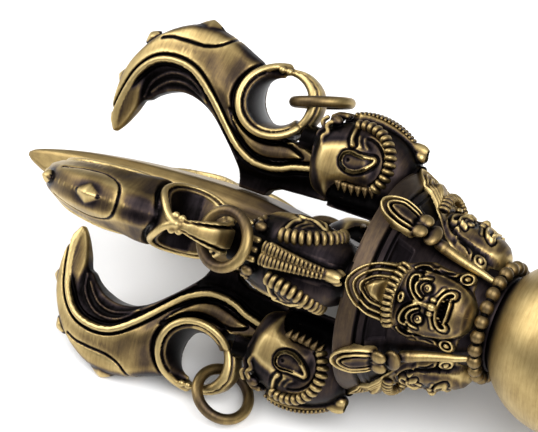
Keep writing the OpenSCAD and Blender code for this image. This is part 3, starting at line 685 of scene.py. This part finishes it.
def mask_tone(x, y, z):
    tone = np.where(depth_in(x, y, FACE_OUTLINE) > 0, 0.47, 0.08)
    tone = tone - 0.25 * ease(21, 22, x) * ease(24.4, 24, x)
    from_eye = np.hypot(x - MASK_EYE[0], y - MASK_EYE[1])
    tone = tone - 0.35 * bump(from_eye - 0.95, 0.4)
    tone = tone - 0.6 * ease(0.4, 0.25, from_eye) * ease(0.1, 0.2, from_eye)
    tone = tone - 0.6 * ease(0, 0.2, depth_in(x, y, MOUTH)) * (z < 11.7)
    tone = np.where(x > 24.9, 0.08, tone)
    tone = np.where(depth_in(x, y, CROWN_BOSS) > 0.3, 0.4, tone)
    return np.where(np.hypot(x - EARRING[0], y - EARRING[1]) < 1.1, 0.42, tone)


LOTUS_LEAF = smooth([(25.2, -0.3), (25.2, 1.7), (26.2, 2.4), (27.8, 2.6), (29.3, 2.3), (30.4, 1.6),
                     (31.05, 0.6), (31.15, 0), (31.05, -0.6)])
LOTUS_RIMS = [smooth([(25, 1.75), (26.2, 2.15), (27.7, 2.3), (29.1, 2), (30.1, 1.4), (30.75, 0.5),
                      (30.8, 0), (30.75, -0.5)]),
              smooth([(25, 1.2), (26.3, 1.4), (27.7, 1.5), (28.8, 1.2), (29.6, 0.6), (29.85, 0),
                      (29.6, -0.6)])]
LOTUS_HEIGHT = np.array([(24, 13.7), (26, 15.2), (28, 16.3), (31.2, 17.05)])
LOTUS_STEM = [(21.8, 0, 11.9), (20.9, 0, 11.4), (19, 0, 10.5), (17, 0, 9.7), (15, 0, 9), (13.7, 0, 8.4),
              (13, 0, 8.2)]
STEM_RADII = (0.85, 0.85, 0.75, 0.66, 0.56, 0.48, 0.42)


def lotus():
    """A leaf with two rims, three petals at its foot and a stem down to the neck."""
    block = Block((12.4, 0, 7), (31.7, 3.2, 18), RELIEF_STEP)
    x, y, z = block.x, block.y, block.z
    height = read(LOTUS_HEIGHT, x) - 0.06 * y ** 2
    for line, rise in zip(LOTUS_RIMS, (0.3, 0.35)):
        d = to_line(x, y, line)[0]
        height = height + rise * bump(d, 0.3) - 0.4 * bump(d - 0.4, 0.24)
    inner = depth_in(x, y, np.vstack([LOTUS_RIMS[1], [(25.4, -0.9)]]))
    leaf = depth_in(x, y, np.vstack([LOTUS_LEAF, [(25.2, -1)]]))
    relief(block, height + 0.35 * ease(0.2, 0.9, inner), leaf)
    block.ball((24.5, 1.05, 14.5), (1.25, 1.1, 0.7), 0.04)
    block.ball((22.85, 0, 13.3), (1.3, 1.9, 0.8), 0.04)
    block.ball((25, 0, 14.4), (0.9, 0.45, 0.6), 0.1)
    block.tube(LOTUS_STEM, STEM_RADII, 0.1)
    block.ball((21.2, 0, 11.7), (0.7, 0.95, 0.75), 0.15)
    block.carve(np.sqrt(y ** 2 + z ** 2) - read(FLARE, x) + 0.12)
    return skinned(block, "lotus", lotus_tone)


def lotus_tone(x, y, z):
    return np.where(x > 25.4, 0.24, 0.38) - 0.1 * ease(1.2, 2, y) * (x < 25.4)


# Turned pieces

def turned(name, rings, steps, radius, tone):
    """A closed skin of rings round the axis. radius and tone are worked out from place and angle."""
    angle = np.linspace(0, 2 * np.pi, steps, endpoint=False)
    verts, wear = [], []
    for along, r in rings:
        out = radius(along, r, angle)
        verts.append(np.stack([along + 0 * angle, out * np.cos(angle), out * np.sin(angle)], 1))
        wear.append(tone(along, r, angle) + 0 * angle)
    n, m = len(rings), steps
    i, j = (v.ravel() for v in np.meshgrid(np.arange(n - 1), np.arange(m), indexing="ij"))
    k = (j + 1) % m
    faces = [tuple(q) for q in np.stack([i * m + j, (i + 1) * m + j, (i + 1) * m + k, i * m + k], 1)]
    faces += [tuple(range(m - 1, -1, -1)), tuple((n - 1) * m + q for q in range(m))]
    return with_wear_and_shade(name, np.vstack(verts), faces, np.concatenate(wear))


BAND_GROOVES = (28.22, 26.99)
PANELS, PANEL_HALF = 8, 9                     # panels round the flare, and half of one in degrees


def from_panel_middle(angle):
    pitch = 360 / PANELS
    return np.abs(np.degrees(angle) % pitch - pitch / 2)


def hub_radius(along, r, angle):
    """The flare's radius, with its grooves, sunk panels and a raised line round each panel."""
    for groove in BAND_GROOVES:
        r = r - 0.4 * bump(along - groove, 0.26)
    turn = from_panel_middle(angle)
    sunk = ease(0, 0.7, PANEL_HALF - turn) * ease(24.3, 24.5, along) * ease(26.75, 26.6, along)
    line = bump(turn - PANEL_HALF - 0.6, 0.6) * ease(24, 24.2, along) * ease(26.9, 26.8, along)
    return r - 0.5 * sunk + 0.12 * line


def hub_tone(along, r, angle):
    turn = from_panel_middle(angle)
    sunk = ease(PANEL_HALF + 0.4, PANEL_HALF - 0.4, turn) * ease(24.2, 24.5, along) * ease(26.8, 26.6, along)
    tone = 0.24 + 0.16 * ease(28.3, 28.6, along) + 0.05 * ease(26.9, 27.2, along) - 0.08 * sunk
    for groove in BAND_GROOVES:
        tone = tone - 0.3 * bump(along - groove, 0.3)
    return tone - 0.3 * (r < 12) * (along > 30)


def hub():
    """The flaring hub, with two grooves beside its band and panels let into the flare."""
    along = np.concatenate([np.arange(11.25, 24, 0.4), np.arange(24, FACE, 0.12)])
    neck = [(11.2, r) for r in (4.6, 5.9, 7.15)]
    rim = [(FACE - 0.02, 16.5)] + [(FACE, r) for r in (16.3, 15, 11, 6)]
    return turned("hub", neck + list(zip(along, read(FLARE, along))) + rim, 320, hub_radius, hub_tone)


def ball():
    """The round grip, with a flat at either end, dark where the beads shade it."""
    end = math.sqrt(BALL_R ** 2 - BALL_END ** 2)
    slope = math.asin(BALL_END / BALL_R)
    rings = [(BALL_R * math.sin(t), BALL_R * math.cos(t)) for t in np.linspace(-slope, slope, 70)]
    return turned("ball", [(-BALL_END, 3)] + rings + [(BALL_END, 3)], 160, lambda along, r, angle: r,
                  lambda along, r, angle: 0.86 - 0.6 * ease(9.4, end, r))


SPIKE_HALF, SPIKE_CORNER = 5.7, 0.85          # half width at the widest, and how far a cut corner reaches
# Place along a spike of the drawn length from the hub's face, and share of the widest
SPIKE_DRAWN = 59.3
SPIKE_PROFILE = smooth([(0, 0.62), (6, 0.66), (14, 0.86), (23, 1), (33, 0.93), (42, 0.78), (50, 0.56),
                        (55, 0.35), (58, 0.18), (59.2, 0.06)], 6)


def spike():
    """The straight spike: four flats with cut corners, drawn out to a blunt point, on a round foot."""
    length = (SPIKE_TIP - FACE) / SPIKE_DRAWN
    rings = [(FACE + at * length, share * SPIKE_HALF) for at, share in SPIKE_PROFILE]

    def radius(along, r, angle):
        if along < FACE - 1:
            return r
        turn = np.abs((angle + np.pi / 4) % (np.pi / 2) - np.pi / 4)
        corner = r * SPIKE_CORNER * math.sqrt(2) / np.cos(np.pi / 4 - turn)
        return meet(r / np.cos(turn), corner, min(0.25, r))

    return turned("spike", [(FACE - 3.5, 4.4)] + rings + [(SPIKE_TIP - 0.02, 0.12)], 96, radius,
                  lambda along, r, angle: 0.78 - 0.45 * ease(FACE + 32, FACE + 8, along))


def loose_ring():
    """A ring of round wire, worn a little unevenly."""
    n, m = 96, 20
    a, t = np.meshgrid(np.arange(n) * 2 * np.pi / n, np.arange(m) * 2 * np.pi / m, indexing="ij")
    r = RING_R + WIRE_R * np.cos(t)
    verts = np.stack([r * np.cos(a), r * np.sin(a), WIRE_R * np.sin(t)], 2).reshape(-1, 3)
    i, j = (v.ravel() for v in np.meshgrid(np.arange(n), np.arange(m), indexing="ij"))
    up, round_wire = (i + 1) % n, (j + 1) % m
    faces = np.stack([i * m + j, up * m + j, up * m + round_wire, i * m + round_wire], 1)
    return with_wear_and_shade("ring", verts, faces, 0.62 + 0.1 * np.cos(t) + 0.12 * np.sin(2 * a + 1))


def pin(length, radius):
    """A plain round pin along the second axis, with eased ends."""
    end = length / 2
    rings = [(-end, radius * 0.8), (-end + 0.1, radius), (end - 0.1, radius), (end, radius * 0.8)]
    mesh = turned("pin", rings, 32, lambda along, r, angle: r, lambda along, r, angle: 0.4)
    mesh.transform(Matrix.Rotation(math.pi / 2, 4, "Z"))
    return mesh


# Nodes

def colour(hex_code):
    """An sRGB colour as linear values with alpha."""
    parts = [int(hex_code[i:i + 2], 16) / 255 for i in (1, 3, 5)]
    return tuple(v / 12.92 if v <= 0.04045 else ((v + 0.055) / 1.055) ** 2.4 for v in parts) + (1,)


def feed(tree, node, **inputs):
    """Inputs by name, or _0, _1 by number: a value, a socket to link from, or a list of sockets."""
    for key, given in inputs.items():
        socket = node.inputs[int(key[1:]) if key[1:].isdigit() else key.replace("_", " ")]
        for one in given if isinstance(given, list) else [given]:
            if isinstance(one, bpy.types.NodeSocket):
                tree.links.new(one, socket)
            else:
                socket.default_value = one


def add(tree, kind, settings=None, stops=(), **inputs):
    """A node with its settings, its colour stops if it is a ramp, and its links. Gives its outputs."""
    node = tree.nodes.new(kind)
    for key, value in (settings or {}).items():
        setattr(node, key, value)
    for i, (at, shade) in enumerate(stops):
        elements = node.color_ramp.elements
        element = elements[i] if i < len(elements) else elements.new(at)
        element.position = at
        element.color = colour(shade) if isinstance(shade, str) else (*shade, 1)
    feed(tree, node, **inputs)
    return node.outputs


# What repeats, set out by geometry nodes

SOCKETS = {int: "NodeSocketInt", float: "NodeSocketFloat", tuple: "NodeSocketVector"}
# Curves from start to end, with their handles between. The head's are those of the side above 0.
FUR_ARC = [(40.6, 3.2, 20.4), (35.6, 3.9, 22), (31.8, 5.7, 16.6), (34.6, 5.2, 12.6)]
CREST_ARC = [(42.2, 0.88, 21.6), (40, 0.85, 22.8), (36, 0.6, 22.4), (33.2, 0.42, 20.6)]
JAW_ARC = [(40.4, 5.2, 11.9), (38.2, 5.35, 11.7), (35.2, 5, 12.4)]
BAND_ARC = [(24.1, -4.4, 13), (25.3, 0, 16.6), (24.1, 4.4, 13)]


def new_tree(name, **sizes):
    """A geometry node tree with named inputs, and what they give."""
    tree = bpy.data.node_groups.new(name, "GeometryNodeTree")
    for way in ("INPUT", "OUTPUT"):
        tree.interface.new_socket("Body", in_out=way, socket_type="NodeSocketGeometry")
    for label, value in sizes.items():
        socket = tree.interface.new_socket(label, in_out="INPUT", socket_type=SOCKETS[type(value)])
        socket.default_value = value
    return tree, tree.nodes.new("NodeGroupInput").outputs


def worn_and_shaded(tree, shape, low, high):
    """The shape with wear and painted shade: high on its back, and low where the next one meets it, for the
    patina and the painted shade in the gap.
    """
    z = add(tree, "ShaderNodeSeparateXYZ", Vector=add(tree, "GeometryNodeInputNormal")[0])[2]
    z = add(tree, "ShaderNodeMath", {"operation": "ABSOLUTE"}, _0=z)[0]
    wear = add(tree, "ShaderNodeMapRange", Value=z, _1=0.4, _2=0.9, _3=high, _4=low)[0]
    return add(tree, "GeometryNodeStoreNamedAttribute", {"data_type": "FLOAT", "domain": "POINT"},
               Geometry=shape, Name="wear", Value=wear)[0]


def row(tree, curve, shape, count, first, last, turned_along=True):
    """Copies of a shape, evenly spaced along a curve, from one size to another."""
    upright = add(tree, "GeometryNodeSetCurveNormal", Curve=curve)[0]
    points = add(tree, "GeometryNodeCurveToPoints", {"mode": "COUNT"}, Curve=upright, Count=count)
    index = add(tree, "GeometryNodeInputIndex")[0]
    gaps = add(tree, "ShaderNodeMath", {"operation": "SUBTRACT"}, _0=count, _1=1.0)[0]
    share = add(tree, "ShaderNodeMath", {"operation": "DIVIDE"}, _0=index, _1=gaps)[0]
    size = add(tree, "ShaderNodeMix", {"data_type": "VECTOR"}, _0=share, _4=first, _5=last)[1]
    turn = {"Rotation": points["Rotation"]} if turned_along else {}
    return add(tree, "GeometryNodeInstanceOnPoints", Points=points[0], Instance=shape, Scale=size, **turn)[0]


def grown(name, tree, parts, material, body=None):
    """The plain mesh that a tree gives on a body, from the parts that it joins."""
    shape = add(tree, "GeometryNodeJoinGeometry", Geometry=parts)[0]
    shape = add(tree, "GeometryNodeRealizeInstances", Geometry=shape)[0]
    shape = add(tree, "GeometryNodeSetShadeSmooth", Geometry=shape)[0]
    shape = add(tree, "GeometryNodeSetMaterial", Geometry=shape, Material=material)[0]
    feed(tree, tree.nodes.new("NodeGroupOutput"), Body=shape)
    return modified(name, body or bpy.data.meshes.new(name), "NODES", node_group=tree)


def bead_string(material):
    """Round beads, each a little different, evenly spaced round the neck on their wire."""
    tree, given = new_tree("bead_string", Beads=24, String_radius=8.3, Bead_radius=1.1, Wire_radius=0.6,
                           Place=12.32, Seed=3)
    circle = add(tree, "GeometryNodeMeshCircle", Vertices=given["Beads"], Radius=given["String_radius"])[0]
    bead = add(tree, "GeometryNodeMeshUVSphere", Segments=24, Rings=16, Radius=given["Bead_radius"])[0]
    bead = worn_and_shaded(tree, bead, 0.66, 0.66)
    size = add(tree, "FunctionNodeRandomValue", {"data_type": "FLOAT_VECTOR"}, _0=(0.93, 0.94, 0.94),
               _1=(1.05, 1, 1), Seed=given["Seed"])[0]
    beads = add(tree, "GeometryNodeInstanceOnPoints", Points=circle, Instance=bead, Scale=size)[0]
    line, section = (add(tree, "GeometryNodeCurvePrimitiveCircle", Resolution=count, Radius=given[radius])[0]
                     for count, radius in ((32, "String_radius"), (12, "Wire_radius")))
    wire = add(tree, "GeometryNodeCurveToMesh", Curve=line, Profile_Curve=section)[0]
    flat = add(tree, "GeometryNodeJoinGeometry", Geometry=[beads, wire])[0]
    neck = add(tree, "ShaderNodeCombineXYZ", X=given["Place"])[0]
    upright = add(tree, "GeometryNodeTransform", Geometry=flat, Translation=neck,
                  Rotation=(0, math.pi / 2, 0))[0]
    return grown("beads", tree, [upright], material)


def furred_head(material):
    """The makara's head with its fur, crest ribs and teeth."""
    tree, given = new_tree("makara_trim", Fur=14, Fur_size=(1.15, 0.85, 0.6),
                           Ribs=16, First_rib=(0.95, 0.42, 0.36), Last_rib=(0.48, 0.36, 0.34),
                           Teeth=6, Tooth_size=(1.0, 1.0, 1.0), Tooth_length=1.4)
    parts = [given["Body"]]
    round_one = add(tree, "GeometryNodeMeshUVSphere", Segments=16, Rings=10, Radius=1.0)[0]
    rows = [(FUR_ARC, worn_and_shaded(tree, round_one, 0.1, 0.82), "Fur", "Fur_size", "Fur_size"),
            (CREST_ARC, worn_and_shaded(tree, round_one, 0.1, 0.75), "Ribs", "First_rib", "Last_rib")]
    cone = add(tree, "GeometryNodeMeshCone", Vertices=12, Side_Segments=3, Radius_Top=0.04,
               Radius_Bottom=0.68, Depth=given["Tooth_length"])[0]
    tooth = worn_and_shaded(tree, cone, 0.6, 0.6)
    for side in (-1, 1):
        for arc, shape, count, first, last in rows:
            start, leave, arrive, end = [(along, side * across, out) for along, across, out in arc]
            line = add(tree, "GeometryNodeCurvePrimitiveBezierSegment", {"mode": "POSITION"}, Resolution=32,
                       Start=start, Start_Handle=leave, End_Handle=arrive, End=end)[0]
            parts.append(row(tree, line, shape, given[count], given[first], given[last]))
        start, middle, end = [(along, side * across, out) for along, across, out in JAW_ARC]
        jaw = add(tree, "GeometryNodeCurveQuadraticBezier", Resolution=24,
                  Start=start, Middle=middle, End=end)[0]
        hung = add(tree, "GeometryNodeTransform", Geometry=tooth, Rotation=(math.pi + 0.2 * side, 0.35, 0))[0]
        size = given["Tooth_size"]
        parts.append(row(tree, jaw, hung, given["Teeth"], size, size, turned_along=False))
    return grown("head", tree, parts, material, head())


def banded_mask(material):
    """The mask with the band of beads between its brow and its crown."""
    tree, given = new_tree("mask_band", Beads=12, Bead_size=(0.88, 0.6, 0.43))
    bead = add(tree, "GeometryNodeMeshUVSphere", Segments=16, Rings=12, Radius=1.0)[0]
    bead = worn_and_shaded(tree, bead, 0.2, 0.85)
    start, middle, end = BAND_ARC
    band = add(tree, "GeometryNodeCurveQuadraticBezier", Resolution=24,
               Start=start, Middle=middle, End=end)[0]
    beads = row(tree, band, bead, given["Beads"], given["Bead_size"], given["Bead_size"])
    return grown("mask", tree, [given["Body"], beads], material, mask())


# Setting out

def spot(side, turn):
    """Where an end's axes go: turned so many degrees about the axis, at one side."""
    return (Matrix.Rotation(0 if side > 0 else math.pi, 4, "Z")
            @ Matrix.Rotation(math.radians(side * turn), 4, "X")
            @ Matrix.Scale(MM, 4) @ Matrix.Translation((SHIFT, 0, 0)))


def ring_hang(low, lean):
    """A ring's place in its prong's axes. The lower rings also hang over to one side."""
    slope, out, tilt = (38, 6.65, 40 * lean) if low else (17, 6.25, 0)
    return (Matrix.Translation((EYE[0], 0, EYE[1])) @ Matrix.Rotation(math.radians(slope - 180), 4, "Y")
            @ Matrix.Translation((out, 0, 0)) @ Matrix.Rotation(math.radians(tilt), 4, "X"))


PLACED = []


def place(mesh, name, material, matrix, node, body="root", slot="aged_brass"):
    """A copy of a mesh in its place, in one material, for a node of the frame."""
    copy = mesh.copy()
    copy.name = name
    copy.transform(matrix)
    copy.materials.clear()
    copy.materials.append(material)
    obj = bpy.data.objects.new(name, copy)
    bpy.context.scene.collection.objects.link(obj)
    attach(obj, body)
    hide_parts(node)
    PLACED.append(obj)


# Materials

PATCH = 4.762                                 # mm, how broad the patina's patches are
GRIT = 0.3846                                 # mm, coarser than the real cast grain, so that it shows
# A brush stroke's size along the axis and across it, mm, also drawn coarse enough to show
ACROSS = (0.3846, 3.3333)
LENGTHWISE = (11.111, 0.6667)


def every(size):
    """How many a metre of what repeats every so many millimetres."""
    return 1 / (size * MM)


def new_material(name):
    material = bpy.data.materials.new(name)
    material.use_nodes = True
    return material, material.node_tree, material.node_tree.nodes["Principled BSDF"]


def antique_brass(name, stroke):
    """Cast brass, black where patina fills it and where shade is painted into it, and rubbed bright where it
    stands out, brushed one way.
    It gives soft, streaked highlights on every rib and bead, with near-black hollows between them, partly
    patina and partly painted shade."""
    material, tree, surface = new_material(name)
    where = add(tree, "ShaderNodeTexCoord")["Object"]
    wear = add(tree, "ShaderNodeAttribute", {"attribute_name": "wear"})["Fac"]
    patches = add(tree, "ShaderNodeTexNoise", Vector=where, Scale=every(PATCH), Detail=5.0,
                  Roughness=0.62)["Fac"]
    along, across = every(stroke[0]), every(stroke[1])
    drawn_out = add(tree, "ShaderNodeMapping", Vector=where, Scale=(along, across, across))["Vector"]
    strokes = add(tree, "ShaderNodeTexNoise", Vector=drawn_out, Scale=1.0, Detail=4.0, Roughness=0.7)["Fac"]
    grain = add(tree, "ShaderNodeTexNoise", Vector=where, Scale=every(GRIT), Detail=3.0,
                Roughness=0.6)["Fac"]
    mixed = add(tree, "ShaderNodeMath", {"operation": "MULTIPLY_ADD"}, _0=patches, _1=0.34, _2=wear)[0]
    mixed = add(tree, "ShaderNodeMath", {"operation": "MULTIPLY_ADD"}, _0=strokes, _1=0.3, _2=mixed)[0]
    mixed = add(tree, "ShaderNodeMath", {"operation": "SUBTRACT"}, _0=mixed, _1=0.32)[0]
    base = add(tree, "ShaderNodeValToRGB", Fac=mixed, stops=[
        (0.0, "#070606"), (0.2, "#1a1618"), (0.36, "#322a29"), (0.5, "#4d4032"), (0.64, "#6f5d3f"),
        (0.8, "#968155"), (1.0, "#bfa975")])["Color"]
    gloss = add(tree, "ShaderNodeValToRGB", Fac=mixed,
                stops=[(0.1, (0.4,) * 3), (0.4, (0.48,) * 3), (0.9, (0.42,) * 3)])["Color"]
    rough = add(tree, "ShaderNodeMath", {"operation": "ADD"}, _0=grain, _1=strokes)[0]
    lift = add(tree, "ShaderNodeBump", Height=rough, Strength=0.25, Distance=0.00003)["Normal"]
    feed(tree, surface, Base_Color=base, Roughness=gloss, Metallic=1, Normal=lift)
    return material


CAST_BRASS = antique_brass("cast_brass_brushed_across", ACROSS)
SPIKE_BRASS = antique_brass("spike_brass_brushed_lengthwise", LENGTHWISE)


# The vajra

PRONG, HEAD, MASK, LOTUS = prong(), furred_head(CAST_BRASS), banded_mask(CAST_BRASS), lotus()
HUB, SPIKE, BEADS, RING, PIN = hub(), spike(), bead_string(CAST_BRASS), loose_ring(), pin(PIN_LENGTH, PIN_R)
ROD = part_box("tie_rod")[1] / MM
# Mesh, name of the piece, name of the node and finish of what each quarter of an end has
QUARTER_PIECES = [(PRONG, "hooked_prong", "prong", "aged_brass"),
                  (HEAD, "makara", "makara_head", "aged_brass"),
                  (MASK, "wrathful_mask", "mask", "rubbed_brass")]

place(ball(), "middle_ball", CAST_BRASS, Matrix.Scale(MM, 4), "ball", slot="bright_brass")
place(pin(2 * ROD.x, ROD.z), "tie_rod_in_hubs", CAST_BRASS,
      Matrix.Rotation(-math.pi / 2, 4, "Z") @ Matrix.Scale(MM, 4), "tie_rod")
for side_name, side in SIDES.items():
    end = spot(side, 0)
    place(HUB, f"hub_{side_name}", CAST_BRASS, end, f"{side_name}_hub")
    place(BEADS, f"bead_string_{side_name}", CAST_BRASS, end, f"{side_name}_bead_string", slot="rubbed_brass")
    place(SPIKE, f"spike_{side_name}", SPIKE_BRASS, spot(side, 45), f"{side_name}_central_spike",
          slot="bright_brass")
    for i, quarter in enumerate(QUARTERS):
        where = spot(side, 45 + 90 * i)
        for mesh, piece, part, slot in QUARTER_PIECES:
            node = f"{side_name}_{part}_{quarter}"
            place(mesh, f"{piece}_{side_name}_{quarter}", CAST_BRASS, where, node, slot=slot)
        hang = ring_hang(quarter.startswith("lower"), -side if quarter.endswith("front") else side)
        ring = f"{side_name}_loose_ring_{quarter}"
        place(RING, f"ring_{side_name}_{quarter}", CAST_BRASS, where @ hang, ring, ring, "rubbed_brass")
        through = where @ Matrix.Translation((PIN_X, 0, PIN_OUT))
        place(PIN, f"prong_pin_{side_name}_{quarter}", CAST_BRASS, through, f"{side_name}_prong_pins")
    for i, face in enumerate(FACES):
        place(LOTUS, f"lotus_ornament_{side_name}_{face}", CAST_BRASS, spot(side, 90 * i),
              f"{side_name}_lotus_{face}", slot="rubbed_brass")


# Floor, light and camera

FLOOR_HALF = 3.0
# Name, place in metres, width and power of each soft light
LIGHTS = [("key_softbox", (0.45, -0.35, 0.8), 0.9, 11), ("left_softbox", (-0.7, -0.1, 0.6), 0.9, 8)]
LIT_PLACE = Vector((-0.04, 0, 0))
# Where the photo was taken from, and which ways are right, up and back there
CAMERA_PLACE, CAMERA_LENS = (0.1749, -0.398, 0.4835), 303.9
CAMERA_AXES = ((0.8853, 0.4641, -0.0292), (-0.3181, 0.6501, 0.6900), (0.3392, -0.6016, 0.7232))


def stage_piece(name, data):
    obj = bpy.data.objects.new(name, data)
    bpy.context.scene.collection.objects.link(obj)
    return obj


def floor():
    """A pale matt table under the lowest point that is drawn."""
    low = min(corner[2] for obj in PLACED for corner in obj.bound_box)
    s = FLOOR_HALF
    mesh = bpy.data.meshes.new("floor")
    mesh.from_pydata([(-s, -s, low), (s, -s, low), (s, s, low), (-s, s, low)], [], [(0, 1, 2, 3)])
    material, tree, surface = new_material("pale_table")
    feed(tree, surface, Base_Color=colour("#f4f4f4"), Roughness=0.5)
    mesh.materials.append(material)
    stage_piece("floor", mesh)


def lights():
    for name, at, size, power in LIGHTS:
        data = bpy.data.lights.new(name, "AREA")
        data.shape, data.size, data.energy = "DISK", size, power
        obj = stage_piece(name, data)
        obj.location = at
        obj.rotation_euler = (LIT_PLACE - Vector(at)).to_track_quat("-Z", "Y").to_euler()


def white_world():
    """White to the camera, and to the metal a studio that is bright above and dim at the sides."""
    world = bpy.data.worlds.new("white_studio")
    bpy.context.scene.world = world
    world.use_nodes = True
    tree = world.node_tree
    up = add(tree, "ShaderNodeSeparateXYZ", Vector=add(tree, "ShaderNodeTexCoord")["Generated"])["Z"]
    sky = add(tree, "ShaderNodeValToRGB", Fac=up,
              stops=[(0.1, (0.12, 0.12, 0.1224)), (0.95, (0.85, 0.85, 0.867))])[0]
    to_camera = add(tree, "ShaderNodeLightPath")["Is Camera Ray"]
    seen = add(tree, "ShaderNodeMix", {"data_type": "RGBA"}, _0=to_camera, _6=sky, _7=(1, 1, 1, 1))[2]
    feed(tree, tree.nodes["Background"], Color=seen)


def camera():
    data = bpy.data.cameras.new("photo_view")
    data.lens, data.sensor_width, data.clip_end = CAMERA_LENS, 36, 10
    obj = stage_piece("photo_view", data)
    obj.matrix_world = Matrix.Translation(CAMERA_PLACE) @ Matrix(CAMERA_AXES).transposed().to_4x4()
    bpy.context.scene.camera = obj


floor()
white_world()
lights()
camera()
bpy.context.scene.view_settings.view_transform = "Standard"
